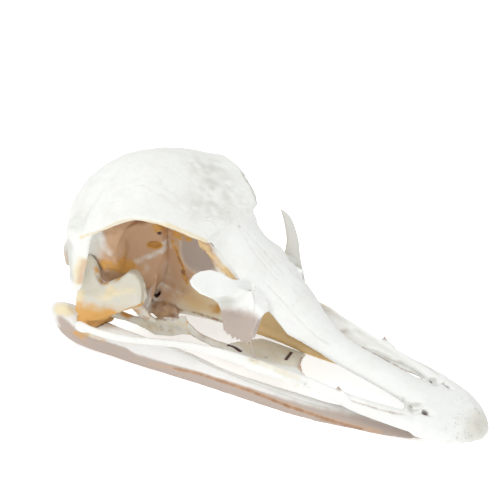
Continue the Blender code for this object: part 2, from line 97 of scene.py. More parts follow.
SKULL_LENGTH = 199.3      # X of the bill's tip
PER_METRE = 1000.0        # millimetres in a metre
SEED_RADIUS = 0.001       # metres: of the ball or ring that a shape starts from
WELD_GAP = 1e-6           # metres: nearer points of a solid are one point
CAP_DEPTH = 0.0004        # metres: how far the wall that closes a divided skin is sunk
BOX_MARGIN = 0.003        # metres: how far outside a solid's box its skin may lie
RING_POINTS = 14          # points round a bar
LEAST_HALF = 0.05         # least half width of a bar
FLOOR_GAP = 0.03          # how far the jaw's skin stays above the floor
SOFTENING = 3             # rounds of smoothing that each map gets
FORWARD = (1, 0, 0)
SIDEWAYS = (0, 1, 0)
BODY = "root"


class Side(Enum):
    """The two sides of the animal, by the sign of Y."""

    RIGHT = -1
    LEFT = 1

    @property
    def word(self) -> str:
        """The ending of a bone's name on this side."""
        return self.name.lower()


class Mark(Enum):
    """What a map lays on the bone: stains, wear, and painted shade in dents and on shaded faces."""

    IVORY = "ivory"
    MAUVE = "mauve"
    TAN = "tan"
    AMBER = "amber"
    OCHRE = "ochre"
    UMBER = "umber"
    GREY = "grey"
    # painted shade: near-black inside slits and dents that stand for holes
    DARK = "dark"
    PORES = "pores"
    VEINS = "veins"


@dataclass(frozen=True)
class Ruler:
    """Turns the skull's millimetres into the frame's metres and back.

    Attributes:
        offset: X of the frame's origin in the skull's millimetres.
    """

    offset: float

    @classmethod
    def from_frame(cls) -> Ruler:
        """A ruler for the loaded frame, from where the bill's tip is in it."""
        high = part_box("premaxilla")[1]
        return cls(SKULL_LENGTH - high[0] * PER_METRE)

    def place(self, point: Sequence[float]) -> Vector:
        """One point of the skull, in metres."""
        return Vector([value / PER_METRE for value in (point[0] - self.offset, *point[1:])])

    def to_skull(self, metres: Array) -> Array:
        """Rows of frame points turned into the skull's millimetres."""
        return metres * PER_METRE + np.array([self.offset, 0.0, 0.0])

    def to_frame(self, millimetres: Array) -> Array:
        """Rows of skull points turned into the frame's metres."""
        return (millimetres - np.array([self.offset, 0.0, 0.0])) / PER_METRE


# ------------------------------------------------------------------ workbench

def pick(*pieces: Object) -> None:
    """Selects these objects and nothing else, the first one active.

    Args:
        pieces: Objects to select.
    """
    bpy.ops.object.select_all(action="DESELECT")
    for piece in pieces:
        piece.select_set(True)
    bpy.context.view_layer.objects.active = pieces[0]


@contextmanager
def editing(piece: Object) -> Iterator[None]:
    """Edit mode with the whole mesh of an object selected, for a with statement.

    Args:
        piece: The object.
    """
    pick(piece)
    bpy.ops.object.mode_set(mode="EDIT")
    bpy.ops.mesh.select_all(action="SELECT")
    yield
    bpy.ops.object.mode_set(mode="OBJECT")


def modify(piece: Object, kind: str, **settings: object) -> None:
    """Gives an object a modifier and applies it.

    Args:
        piece: The object.
        kind: The modifier's type.
        settings: Its settings.
    """
    pick(piece)
    modifier = piece.modifiers.new(kind.lower(), kind)
    for name, value in settings.items():
        setattr(modifier, name, value)
    bpy.ops.object.modifier_apply(modifier=modifier.name)


def read_rows(
    items: bpy.types.bpy_prop_collection, name: str, width: int = 3, kind: type = float
) -> Array:
    """One property of all the vertices, edges or faces of a mesh.

    Args:
        items: The vertices, edges or faces.
        name: The property.
        width: How many numbers it has.
        kind: The type of its numbers.

    Returns:
        A row for each item.
    """
    flat = np.empty(len(items) * width, dtype=kind)
    items.foreach_get(name, flat)
    return flat.reshape(-1, width)


def copy_of_node(frame: dict, node: str) -> Object:
    """A plain copy of a bone's solid, with its loose triangles merged.

    Args:
        node: The node's name.

    Returns:
        A new object at the origin.
    """
    data = frame["nodes"][node].data.copy()
    data.materials.clear()
    piece = bpy.data.objects.new(f"{node}_copy", data)
    bpy.context.collection.objects.link(piece)
    with editing(piece):
        bpy.ops.mesh.remove_doubles(threshold=WELD_GAP)
    return piece


def catmull(stations: Sequence[Sequence[float]], count: int) -> Array:
    """A smooth run through stations, with any number of values in each.

    Args:
        stations: The stations, in order.
        count: How many rows to give back.

    Returns:
        An array with one row per place on the run.
    """
    rows = np.array(stations, dtype=float)
    padded = np.vstack([2 * rows[0] - rows[1], rows, 2 * rows[-1] - rows[-2]])
    made = []
    for place in np.linspace(0, len(rows) - 1, count):
        span = min(int(place), len(rows) - 2)
        t = place - span
        before, start, end, after = padded[span:span + 4]
        made.append(0.5 * (
            2 * start
            + (end - before) * t
            + (2 * before - 5 * start + 4 * end - after) * t * t
            + (3 * start - before - 3 * end + after) * t ** 3
        ))
    return np.array(made)


def on_side(rows: Outline | Run, side: Side) -> list[tuple[float, ...]]:
    """Points or stations of the right side, moved to a side.

    Args:
        rows: Rows that begin with X, Y and Z on the right side.
        side: The side they are wanted on.

    Returns:
        The rows on that side.
    """
    return [(row[0], -side.value * row[1], *row[2:]) for row in rows]


@dataclass
class Workbench:
    """Makes the shapes that bones are put together from, all given for the right side.

    Attributes:
        ruler: Turns millimetres into the frame's metres.
    """

    ruler: Ruler

    def ball(self, centre: Point, radii: Point, side: Side) -> Object:
        """An egg-shaped lump.

        Args:
            centre: Its middle.
            radii: Half sizes along X, Y and Z.
            side: The side that it is made on.

        Returns:
            The new object.
        """
        bpy.ops.mesh.primitive_uv_sphere_add(segments=24, ring_count=16, radius=SEED_RADIUS)
        lump = bpy.context.object
        lump.scale = radii
        lump.location = self.ruler.place(on_side((centre,), side)[0])
        pick(lump)
        bpy.ops.object.transform_apply(location=True, rotation=True, scale=True)
        return lump

    def bar(
        self, stations: Run, across: Point, side: Side = Side.RIGHT, rings: int = 16
    ) -> Object:
        """A round end extruded from station to station, with its own two widths at each.

        Args:
            stations: X, Y, Z, half width along across and half width the other way.
            across: Direction of the first width, the same on both sides.
            side: The side that it is made on.
            rings: How many rings the bar has along its run.

        Returns:
            The new object, closed at both ends.
        """
        run = catmull(on_side(stations, side), rings)
        middles = run[:, :3]
        tangents = np.gradient(middles, axis=0)
        bpy.ops.mesh.primitive_circle_add(
            vertices=RING_POINTS, radius=SEED_RADIUS, fill_type="NGON"
        )
        made = bpy.context.object
        angles = np.linspace(0, 2 * math.pi, RING_POINTS, endpoint=False)
        before: list[Vector] = []
        with editing(made):
            for index in range(rings):
                tangent = tangents[index] / np.linalg.norm(tangents[index])
                first = np.array(across) - tangent * np.dot(tangent, across)
                first /= np.linalg.norm(first)
                second = np.cross(tangent, first)
                halves = np.maximum(run[index, 3:], LEAST_HALF)
                ring = [
                    self.ruler.place(
                        middles[index]
                        + first * halves[0] * math.cos(angle)
                        + second * halves[1] * math.sin(angle)
                    )
                    for angle in angles
                ]
                if index:
                    bpy.ops.mesh.extrude_region_move()
                self._move_ring(made, before, ring)
                before = ring
            bpy.ops.mesh.select_all(action="SELECT")
            bpy.ops.mesh.normals_make_consistent(inside=False)
        return made

    @staticmethod
    def _move_ring(made: Object, before: list[Vector], ring: list[Vector]) -> None:
        """Moves the selected ring to its station, keeping the order of its points.

        Args:
            made: The object in edit mode.
            before: Where the ring's points are now, or nothing for the first ring.
            ring: Where they go.
        """
        mesh = bmesh.from_edit_mesh(made.data)
        chosen = [vert for vert in mesh.verts if vert.select]
        for index, vert in enumerate(chosen):
            if before:
                index = min(range(len(before)), key=lambda i: (before[i] - vert.co).length)
            vert.co = ring[index]
        bmesh.update_edit_mesh(made.data)

    def plate(
        self, outline: Outline, thick: float, side: Side = Side.RIGHT, flat: bool = True
    ) -> Object:
        """A plate with this outline and thickness.

        Args:
            outline: Points round the plate, nearly in one plane.
            thick: Thickness.
            side: The side that it is made on.
            flat: Whether the outline is first laid in the plane that fits it best.

        Returns:
            The new object, centred on the outline.
        """
        rows = np.array(on_side(outline, side), dtype=float)
        if flat:
            middle = rows.mean(axis=0)
            normal = np.linalg.svd(rows - middle)[2][2]
            rows -= np.outer((rows - middle) @ normal, normal)
        bpy.ops.mesh.primitive_circle_add(
            vertices=len(outline), radius=SEED_RADIUS, fill_type="NGON"
        )
        made = bpy.context.object
        for vert, place in zip(made.data.vertices, rows):
            vert.co = self.ruler.place(place)
        with editing(made):
            bpy.ops.mesh.quads_convert_to_tris(quad_method="BEAUTY", ngon_method="BEAUTY")
            bpy.ops.mesh.subdivide(number_cuts=2)
        modify(made, "SOLIDIFY", thickness=thick / PER_METRE, offset=0.0)
        return made

    @staticmethod
    def one_skin(
        pieces: Sequence[Object], grain: float, ease: int, closing: float
    ) -> Object:
        """Joins shapes and makes them one even skin.

        Args:
            pieces: The shapes, which may overlap.
            grain: Size of the skin's faces.
            ease: Rounds of smoothing.
            closing: How far each shape is first grown, and the skin shrunk back, to
                close the seams between them.

        Returns:
            The finished skin.
        """
        pick(*pieces)
        if len(pieces) > 1:
            bpy.ops.object.join()
        whole = pieces[0]
        if closing:
            modify(whole, "DISPLACE", strength=closing / PER_METRE, mid_level=0.0)
        modify(whole, "REMESH", mode="VOXEL", voxel_size=grain / PER_METRE, use_smooth_shade=True)
        modify(whole, "SMOOTH", iterations=ease, factor=0.5)
        if closing:
            modify(whole, "DISPLACE", strength=-closing / PER_METRE, mid_level=0.0)
        return whole


# -------------------------------------------------------------------- carving

@dataclass(frozen=True)
class Stroke:
    """A line or spot on a bone that is raised, sunk, stained or darkened with painted shade.

    Attributes:
        path: Points of the line, or one point for a spot, on the right side.
        width: How far from the line it reaches.
        mark: The map that it stains.
        strength: How strongly it stains, or clears the map if negative.
        rough: How much noise breaks it up, from 0 to 1.
        lift: How far the skin is raised, or sunk if negative.
        soft: The share of the width over which it fades.
    """

    path: Outline
    width: float
    mark: Mark | None = None
    strength: float = 0.0
    rough: float = 0.0
    lift: float = 0.0
    soft: float = 1.0


HASH_STEPS = (73856093, 19349663, 83492791, 2654435761)
KEEP_31_BITS = 0x7FFFFFFF
KEEP_16_BITS = 0xFFFF


def lattice_noise(points: Array, size: float, seed: int = 0) -> Array:
    """Smooth noise from -1 to 1, from a hash of the lattice cell round each place.

    Args:
        points: Rows of places.
        size: Size of the noise's lumps.
        seed: Chooses one of many patterns.

    Returns:
        One value per place.
    """
    grid = points / size + 19.7 * (seed + 1)
    cell = np.floor(grid).astype(np.int64)
    part = grid - cell
    part = part * part * (3 - 2 * part)
    total = np.zeros(len(points))
    for corner in product((0, 1), repeat=3):
        x, y, z = (cell + np.array(corner)).T
        code = x * HASH_STEPS[0] ^ y * HASH_STEPS[1] ^ z * HASH_STEPS[2]
        code = (code ^ (seed * HASH_STEPS[3])) & KEEP_31_BITS
        code = (code * 1103515245 + 12345) & KEEP_31_BITS
        code = ((code >> 9) ^ code) & KEEP_16_BITS
        share = np.prod(np.where(np.array(corner) == 1, part, 1 - part), axis=1)
        total += share * (code / (KEEP_16_BITS / 2) - 1.0)
    return total


def soft_step(value: Array, low: float, high: float) -> Array:
    """0 below low, 1 above high and a smooth rise between them."""
    share = np.clip((value - low) / (high - low), 0.0, 1.0)
    return share * share * (3 - 2 * share)


def neighbour_mean(values: Array, first: Array, second: Array, shares: Array) -> Array:
    """The mean, for each point, of the values at the points that it shares an edge with.

    Args:
        values: One value per point.
        first: The point at one end of each edge.
        second: The point at its other end.
        shares: How many edges meet at each point.

    Returns:
        One mean per point.
    """
    total = np.bincount(first, values[second], len(values))
    total += np.bincount(second, values[first], len(values))
    return total / shares


class Carving:
    """Moves a bone's skin and lays stains and painted shade on it, in the skull's own millimetres.

    Places are given for the right side.  Both sides get them, unless a call says
    otherwise, because the points are folded over the middle plane.
    """

    def __init__(self, piece: Object, ruler: Ruler) -> None:
        """Reads the skin.

        Args:
            piece: The bone.
            ruler: Turns millimetres into the frame's metres.
        """
        self.piece = piece
        self.ruler = ruler
        self.marks = {mark: np.zeros(len(piece.data.vertices)) for mark in Mark}
        self.read()

    def read(self) -> None:
        """Takes the places and normals from the mesh, and folds a copy of both."""
        verts = self.piece.data.vertices
        self.points = self.ruler.to_skull(read_rows(verts, "co"))
        self.normals = read_rows(verts, "normal")
        self.folded = self.points.copy()
        self.folded[:, 1] = -np.abs(self.points[:, 1])
        self.turned = self.normals.copy()
        self.turned[:, 1] *= np.where(self.points[:, 1] > 0, -1, 1)

    def write(self) -> None:
        """Gives the moved places back to the mesh."""
        flat = self.ruler.to_frame(self.points).ravel()
        self.piece.data.vertices.foreach_set("co", flat)
        self.piece.data.update()

    def _edges(self) -> tuple[Array, Array, Array]:
        """How the skin's points hang together.

        Returns:
            Both ends of every edge, and how many edges meet at each point.
        """
        ends = read_rows(self.piece.data.edges, "vertices", 2, np.int32)
        shares = np.bincount(ends.ravel(), minlength=len(self.points))
        return ends[:, 0], ends[:, 1], np.maximum(shares, 1)

    def relax(self, rounds: int, weight: Weight = 1.0, back: float = 0.53) -> None:
        """Evens the skin out without shrinking it, and reads its new normals.

        Args:
            rounds: How many times it is smoothed and let out again.
            weight: Where, as one weight per point or one for all.
            back: How far it is let out; near 0.5, wider bumps go too.
        """
        edges = self._edges()
        for _, step in product(range(rounds), (0.5, -back)):
            for column in self.points.T:
                column += (neighbour_mean(column, *edges) - column) * step * weight
        self.write()
        self.read()

    def draw(self, strokes: Iterable[Stroke]) -> None:
        """Raises, sinks and stains the skin along strokes.

        Args:
            strokes: The strokes, in order.
        """
        for number, stroke in enumerate(strokes):
            weight = self.along(stroke.path, stroke.width, stroke.soft)
            if stroke.rough:
                broken = self.noise(max(stroke.width * 0.5, 1.0), 40 + number)
                broken += 0.7 * self.noise(1.1, 90 + number)
                weight = np.clip(weight * (1 + 1.6 * stroke.rough * broken), 0, 1)
            if stroke.lift:
                self.push(weight, stroke.lift)
            if stroke.strength > 0:
                self.stain(stroke.mark, weight, stroke.strength)
            elif stroke.strength < 0:
                self.clean(stroke.mark, -weight * stroke.strength)

    def near(self, centre: Point, radii: float | Point, soft: float = 1.0) -> Array:
        """A weight that is 1 at a centre and fades to 0 at the radii.

        Args:
            centre: Where it is strongest.
            radii: How far it reaches, one size or three.
            soft: The share of the reach over which it fades.

        Returns:
            One weight per point.
        """
        reach = np.array([radii] * 3 if np.isscalar(radii) else radii, dtype=float)
        distance = np.linalg.norm((self.folded - np.array(centre)) / reach, axis=1)
        return 1 - soft_step(distance, 1 - soft, 1.0)

    def along(self, path: Outline, width: float, soft: float = 1.0) -> Array:
        """A weight that is 1 on a line through points and fades to 0 at a width.

        Args:
            path: Points of the line.
            width: How far from the line it reaches.
            soft: The share of the width over which it fades.

        Returns:
            One weight per point.
        """
        route = np.array(path, dtype=float)
        low, high = route.min(axis=0) - width, route.max(axis=0) + width
        close = np.flatnonzero(np.all((self.folded > low) & (self.folded < high), axis=1))
        places = self.folded[close]
        best = np.linalg.norm(places - route[0], axis=1)
        for start, end in zip(route, route[1:]):
            span = end - start
            share = np.clip((places - start) @ span / (span @ span), 0, 1)
            gap = np.linalg.norm(places - (start + share[:, None] * span), axis=1)
            best = np.minimum(best, gap)
        weight = np.zeros(len(self.folded))
        weight[close] = 1 - soft_step(best / width, 1 - soft, 1.0)
        return weight

    def facing(self, way: Point, low: float = 0.0, high: float = 0.5) -> Array:
        """A weight that is 1 where the skin faces a way.

        Args:
            way: The direction, on the right side.
            low: Cosine of the angle to it at which the weight is 0.
            high: Cosine at which it is 1.

        Returns:
            One weight per point.
        """
        unit = np.array(way, dtype=float)
        unit /= np.linalg.norm(unit)
        return soft_step(self.turned @ unit, low, high)

    def noise(self, size: float, seed: int = 0) -> Array:
        """Smooth noise from -1 to 1 over the skin, not folded."""
        return lattice_noise(self.points, size, seed)

    def push(self, weight: Array, amount: float) -> None:
        """Moves the skin outwards by so many millimetres, or inwards if negative."""
        self.points += self.normals * (weight * amount)[:, None]

    def stain(self, mark: Mark, weight: Weight, strength: float = 1.0) -> None:
        """Adds to a map, up to full strength."""
        self.marks[mark] = np.clip(self.marks[mark] + weight * strength, 0.0, 1.0)

    def clean(self, mark: Mark, weight: Array) -> None:
        """Takes a map away where the weight is high."""
        self.marks[mark] *= 1 - np.clip(weight, 0.0, 1.0)

    def finish(self) -> None:
        """Writes the places and the maps to the mesh, the maps softened a little."""
        self.write()
        edges = self._edges()
        for mark, values in self.marks.items():
            for _ in range(SOFTENING):
                values = 0.5 * values + 0.5 * neighbour_mean(values, *edges)
            layer = self.piece.data.attributes.new(mark.value, "FLOAT", "POINT")
            layer.data.foreach_set("value", values.astype(np.float32))


# ------------------------------------------------------------------- finishes

@dataclass(frozen=True)
class Graph:
    """Adds nodes to a material, with their inputs set or linked.

    Attributes:
        tree: The material's node tree.
    """

    tree: bpy.types.NodeTree

    def fill(self, node: bpy.types.Node, inputs: dict) -> None:
        """Sets or links a node's inputs.

        Args:
            node: The node.
            inputs: For each input a number, a linear colour or the socket it comes from.
        """
        for key, value in inputs.items():
            if isinstance(value, Socket):
                self.tree.links.new(value, node.inputs[key])
            else:
                node.inputs[key].default_value = (*value, 1.0) if isinstance(value, tuple) else value

    def node(self, kind: str, output: str | int, inputs: dict, **settings: object) -> Socket:
        """A new node.

        Args:
            kind: Its type, without the start that all types share.
            output: Which of its outputs is wanted.
            inputs: What its inputs get.
            settings: Its other settings.

        Returns:
            The wanted output.
        """
        node = self.tree.nodes.new(f"ShaderNode{kind}")
        for name, value in settings.items():
            setattr(node, name, value)
        self.fill(node, inputs)
        return node.outputs[output]

    @cached_property
    def place(self) -> Socket:
        """Where on the bone the shader is."""
        return self.node("TexCoord", "Object", {})

    def noise(self, scale: float, detail: float, rough: float = 0.55) -> Socket:
        """A noise value over the bone."""
        inputs = {"Scale": scale, "Detail": detail, "Roughness": rough, "Vector": self.place}
        return self.node("TexNoise", "Fac", inputs)

    def mask(self, mark: Mark) -> Socket:
        """One of the bone's maps."""
        return self.node("Attribute", "Fac", {}, attribute_name=mark.value)

    def maths(self, operation: str, *values: object) -> Socket:
        """A value worked out from others."""
        return self.node("Math", 0, dict(enumerate(values)), operation=operation)

    def times(self, one: object, other: object) -> Socket:
        """One value times the other."""
        return self.maths("MULTIPLY", one, other)

    def ramp(self, value: Socket, low: float, high: float) -> Socket:
        """0 below low, 1 above high and a smooth rise between them."""
        inputs = {"Value": value, "From Min": low, "From Max": high}
        return self.node("MapRange", "Result", inputs, interpolation_type="SMOOTHSTEP")

    def mixed(self, share: Socket, base: Socket | Point, top: Point) -> Socket:
        """Two colours mixed by a share."""
        return self.node("Mix", 2, {"Factor": share, 6: base, 7: top}, data_type="RGBA")


@dataclass(frozen=True)
class Tint:
    """A colour that shows where a map says so.

    Attributes:
        mark: The map.
        colour: Linear red, green and blue.
        grain: Scale of the noise that breaks its edge.
        breakup: How strongly the noise breaks it, from 0 to 1.
    """

    mark: Mark
    colour: Point
    grain: float
    breakup: float

    def over(self, graph: Graph, colour: Socket) -> Socket:
        """A colour with this tint laid over it.

        Args:
            graph: The material's nodes.
            colour: What is under the tint.

        Returns:
            The tinted colour.
        """
        mask = graph.mask(self.mark)
        edge = graph.maths("SUBTRACT", graph.noise(self.grain, 5, 0.65), 0.5)
        shown = graph.ramp(graph.maths("ADD", mask, graph.times(edge, self.breakup)), 0.18, 0.82)
        held = graph.times(shown, graph.ramp(mask, 0.0, 0.15))
        return graph.mixed(held, colour, self.colour)


# The grey, mauve and umber tints are stains, and also painted shade where the carving lays them on shaded
# faces.
TINTS = (
    Tint(Mark.GREY, (0.58, 0.58, 0.54), 150, 0.6),
    Tint(Mark.IVORY, (0.72, 0.63, 0.43), 260, 0.5),
    Tint(Mark.MAUVE, (0.43, 0.355, 0.31), 180, 0.45),
    Tint(Mark.TAN, (0.55, 0.355, 0.22), 120, 0.35),
    Tint(Mark.AMBER, (0.74, 0.54, 0.28), 200, 0.6),
    Tint(Mark.OCHRE, (0.60, 0.325, 0.09), 260, 0.7),
    Tint(Mark.UMBER, (0.27, 0.13, 0.055), 420, 0.6),
    # Near-black: painted shade inside slits and dents that stand for holes.
    Tint(Mark.DARK, (0.05, 0.012, 0.016), 500, 0.12),
)
VEIN_COLOUR = (0.55, 0.55, 0.51)
PORE_COLOUR = (0.36, 0.34, 0.26)


@dataclass(frozen=True)
class BoneFinish:
    """Dry bone: a clean colour with mottling, grain, pores, stains and painted shade.

    Attributes:
        name: Name of the material.
        clean: Linear colour of the clean bone.
        shade: Linear colour of its darker mottling.
        mottle: How strongly the mottling shows.
        roughness: Roughness of the surface.
        grain: Height of the fine grain in the bump, from 0 to 1.
    """

    name: str
    clean: Point = (0.77, 0.78, 0.745)
    shade: Point = (0.62, 0.62, 0.58)
    mottle: float = 0.5
    roughness: float = 0.55
    grain: float = 0.35

    def make(self) -> bpy.types.Material:
        """Builds the material.

        Returns:
            The material, which reads Object coordinates and the bone's maps.
        """
        material = bpy.data.materials.new(self.name)
        material.use_nodes = True
        graph = Graph(material.node_tree)
        times = graph.times
        broad = times(graph.ramp(graph.noise(70, 5), 0.42, 0.68), 0.6)
        fine = times(graph.ramp(graph.noise(420, 4), 0.45, 0.75), 0.4)
        share = times(graph.maths("ADD", broad, fine), self.mottle)
        colour = graph.mixed(share, self.clean, self.shade)
        veins, pores = self._veins(graph), self._pores(graph)
        colour = graph.mixed(times(veins, 0.5), colour, VEIN_COLOUR)
        for tint in TINTS:
            colour = tint.over(graph, colour)
        colour = graph.mixed(times(pores, 0.75), colour, PORE_COLOUR)
        grain = times(graph.noise(900, 3), self.grain)
        height = graph.maths("ADD", grain, times(graph.noise(230, 4), self.grain * 1.6))
        height = graph.maths("SUBTRACT", height, times(pores, 1.2))
        height = graph.maths("SUBTRACT", height, times(veins, 0.5))
        bump = {"Strength": 0.35, "Distance": 0.0006, "Height": height}
        graph.fill(material.node_tree.nodes["Principled BSDF"], {
            "Specular IOR Level": 0.35,
            "Base Color": colour,
            "Normal": graph.node("Bump", "Normal", bump),
            "Roughness": graph.maths("ADD", self.roughness, times(graph.noise(150, 3), 0.16)),
        })
        return material

    @staticmethod
    def _veins(graph: Graph) -> Socket:
        """Fine wandering lines where the bone's map has veins.

        Args:
            graph: The material's nodes.

        Returns:
            How strongly they show.
        """
        wavy = graph.node("TexNoise", "Color", {"Scale": 120, "Vector": graph.place})
        bent = graph.node("Mix", 1, {"Factor": 0.985, 4: wavy, 5: graph.place}, data_type="VECTOR")
        gap = graph.node(
            "TexVoronoi", "Distance", {"Scale": 120, "Vector": bent}, feature="DISTANCE_TO_EDGE"
        )
        line = graph.maths("SUBTRACT", 1.0, graph.ramp(gap, 0.0, 0.11))
        line = graph.times(line, graph.ramp(graph.noise(90, 3), 0.40, 0.62))
        return graph.times(line, graph.mask(Mark.VEINS))

    @staticmethod
    def _pores(graph: Graph) -> Socket:
        """Small pits where the bone's map has pores.

        Args:
            graph: The material's nodes.

        Returns:
            How strongly they show.
        """
        gap = graph.node("TexVoronoi", "Distance", {"Scale": 1500, "Vector": graph.place})
        dots = graph.maths("SUBTRACT", 1.0, graph.ramp(gap, 0.14, 0.36))
        dots = graph.times(dots, graph.ramp(graph.noise(300, 2), 0.44, 0.58))
        return graph.times(dots, graph.mask(Mark.PORES))


# ---------------------------------------------------------------------- bones

@dataclass
class Bone:
    """What every bone, or group of bones fused in life, has in common.

    Attributes:
        bench: Makes shapes.
        nodes: The solids that the group stands for, each with its material slot.
        side: The side that it is on, if it is one of a pair.
        grain: Size of the skin's faces.
        ease: Rounds of smoothing that the skin gets.
        closing: How far shapes are grown to close the seams between them.
        keeps_solid: Whether the skin starts from copies of the solids.
    """

    frame: dict
    bench: Workbench
    nodes: dict[str, str]
    side: Side = Side.RIGHT
    grain: float = 0.4
    ease: int = 5
    closing: float = 0.0
    keeps_solid: bool = True

    def start(self) -> list[Object]:
        """Copies of the solids, one object per node, or nothing if none is kept."""
        return [copy_of_node(self.frame, node) for node in self.nodes if self.keeps_solid]

    def model(self) -> list[Object]:
        """Shapes that the solids leave out; none unless a bone has some."""
        return []

    def carve(self, work: Carving) -> None:
        """Carves and stains the skin."""

    def build(self, finishes: dict[str, bpy.types.Material]) -> list[Object]:
        """Makes the bone, or every bone of the group.

        Args:
            finishes: A material for each slot.

        Returns:
            The finished pieces.
        """
        shapes = self.start() + self.model()
        skin = self.bench.one_skin(shapes, self.grain, self.ease, self.closing)
        work = Carving(skin, self.bench.ruler)
        self.carve(work)
        work.finish()
        pieces = self.part(skin)
        for piece in pieces:
            self.dress(piece, finishes)
        return pieces

    def part(self, skin: Object) -> list[Object]:
        """Divides a fused skin into its bones, each face going to the nearest solid.

        Args:
            skin: The skin of the whole group.

        Returns:
            One piece per node, closed where it was divided.
        """
        names = list(self.nodes)
        if len(names) == 1:
            skin.name = f"{names[0]}_bone"
            return [skin]
        owner = self._owners(skin, names)
        pieces = []
        for index, name in enumerate(names):
            mesh = bmesh.new()
            mesh.from_mesh(skin.data)
            mesh.faces.ensure_lookup_table()
            others = [mesh.faces[i] for i in np.flatnonzero(owner != index)]
            bmesh.ops.delete(mesh, geom=others, context="FACES")
            self._cap(mesh)
            data = bpy.data.meshes.new(f"{name}_bone")
            mesh.to_mesh(data)
            mesh.free()
            piece = bpy.data.objects.new(f"{name}_bone", data)
            bpy.context.collection.objects.link(piece)
            pieces.append(piece)
        data = skin.data
        bpy.data.objects.remove(skin)
        bpy.data.meshes.remove(data)
        return pieces

    @staticmethod
    def _cap(mesh: bmesh.types.BMesh) -> None:
        """Closes the openings where a skin was divided, with a wall sunk under each rim.

        Args:
            mesh: The part of the skin.
        """
        mesh.normal_update()
        rim = [edge for edge in mesh.edges if edge.is_boundary]
        sunk = bmesh.ops.extrude_edge_only(mesh, edges=rim)["geom"]
        for vert in (part for part in sunk if isinstance(part, bmesh.types.BMVert)):
            partner = next(
                edge.other_vert(vert) for edge in vert.link_edges if not edge.is_boundary
            )
            vert.co = partner.co - partner.normal * CAP_DEPTH
        for edge in rim:
            edge.smooth = False
        opening = [edge for edge in mesh.edges if edge.is_boundary]
        bmesh.ops.holes_fill(mesh, edges=opening, sides=0)
        bmesh.ops.recalc_face_normals(mesh, faces=mesh.faces)

    def _owners(self, skin: Object, names: Sequence[str]) -> Array:
        """Which solid each face of the skin is nearest to.

        Args:
            skin: The skin of the whole group.
            names: The nodes.

        Returns:
            The node's index for each face.
        """
        far, nearby = 1.0, 0.5
        centres = read_rows(skin.data.polygons, "center")
        gaps = np.full((len(centres), len(names)), far)
        for index, name in enumerate(names):
            low, high = (np.array(corner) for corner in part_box(name))
            inside = (centres > low - BOX_MARGIN) & (centres < high + BOX_MARGIN)
            gaps[np.all(inside, axis=1), index] = nearby
        shared = np.flatnonzero((gaps < far).sum(axis=1) > 1)
        for index, name in enumerate(names):
            mesh = bmesh.new()
            mesh.from_mesh(self.frame["nodes"][name].data)
            tree = BVHTree.FromBMesh(mesh)
            for face in shared[gaps[shared, index] < far]:
                gaps[face, index] = tree.find_nearest(Vector(centres[face]))[3]
            mesh.free()
        return gaps.argmin(axis=1)

    def dress(self, piece: Object, finishes: dict[str, bpy.types.Material]) -> None:
        """Gives a piece its finish, hangs it from the body and hides the solid that it stands for.

        Args:
            piece: The finished piece.
            finishes: A material for each slot.
        """
        node = piece.name.removesuffix("_bone")
        slot = self.nodes[node]
        piece.data.materials.clear()
        piece.data.materials.append(finishes[slot])
        piece.data.shade_smooth()
        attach(piece, BODY)
        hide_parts(node)
        LOG.info("%s: %d faces", piece.name, len(piece.data.polygons))


NASAL_PROCESS: Outline = (
    (109.5, -23, 29), (108, -20.5, 35.5), (107.5, -19.5, 39), (106.5, -18, 42.5),
    (105.5, -15.5, 44.8), (103.5, -11, 45.5), (108, -11, 42), (112.5, -12.5, 37),
    (112, -17, 38), (111, -19.5, 36), (110, -22.5, 30.5),
)
NASAL_WALL: Outline = (
    (78, -13, 59.5), (83, -13, 60.5), (90, -13, 54.5), (99.5, -13, 45),
    (95.5, -13, 43.5), (88, -13, 46.5), (83, -13, 53), (79.5, -13, 55.5),
)
SHELF: Outline = (
    (93.5, -17, 16), (94.5, -13, 15), (100.5, -1, 12), (122, -1, 12.5),
    (122.5, -5, 13.5), (125, -11, 15), (129, -16.5, 16), (135, -21, 17),
    (100, -16.5, 16),
)
SPIKE: Outline = (
    (143.5, -19.5, 15), (146, -19.5, 18.5), (150, -19.5, 16), (152, -19.5, 14),
    (145.5, -19.5, 13),
)
TAG: Outline = (
    (128.5, -23.5, 16.5), (129.5, -23.5, 14), (131, -23.5, 15), (133, -23.5, 15),
    (134.5, -23.5, 17.5),
)
ORBIT_BLADE: Run = (
    (52.5, -7, 30, 1.2, 0.8), (52, -9, 25, 1.5, 0.8), (51.5, -11.5, 20, 1.6, 0.8),
    (51, -14.5, 16.5, 1.2, 0.8),
)
NARIS_STRUT: Run = (
    (167.0, -6.2, 13.4, 0.8, 0.7), (169.9, -9.6, 12.8, 0.6, 0.6), (172.9, -12.9, 11.8, 0.8, 0.7),
)
NARIS_BRANCH: Run = (
    (170.4, -8.4, 12.9, 0.6, 0.6), (173.5, -6.9, 12.9, 0.55, 0.55), (176.4, -6.0, 13.2, 0.7, 0.7),
)
NARIS_WALL: Outline = (
    (120, -18.5, 16.5), (130, -19, 15.5), (142, -18, 14), (153, -17, 13),
    (165, -14.5, 12.5), (174, -10.5, 12), (174, -10, 9), (165, -14, 9),
    (153, -16, 8.5), (142, -17.5, 9.5), (130, -18, 12), (120, -18, 14.5),
)
NARIS_LAMELLA: Run = (
    (140.5, -15.2, 12.6, 0.9, 0.45), (151.8, -16, 11.8, 0.9, 0.45), (159.8, -15.2, 11.6, 0.9, 0.45),
    (168.8, -12.6, 11.5, 1, 0.5), (176.8, -8, 11.4, 1, 0.5),
)

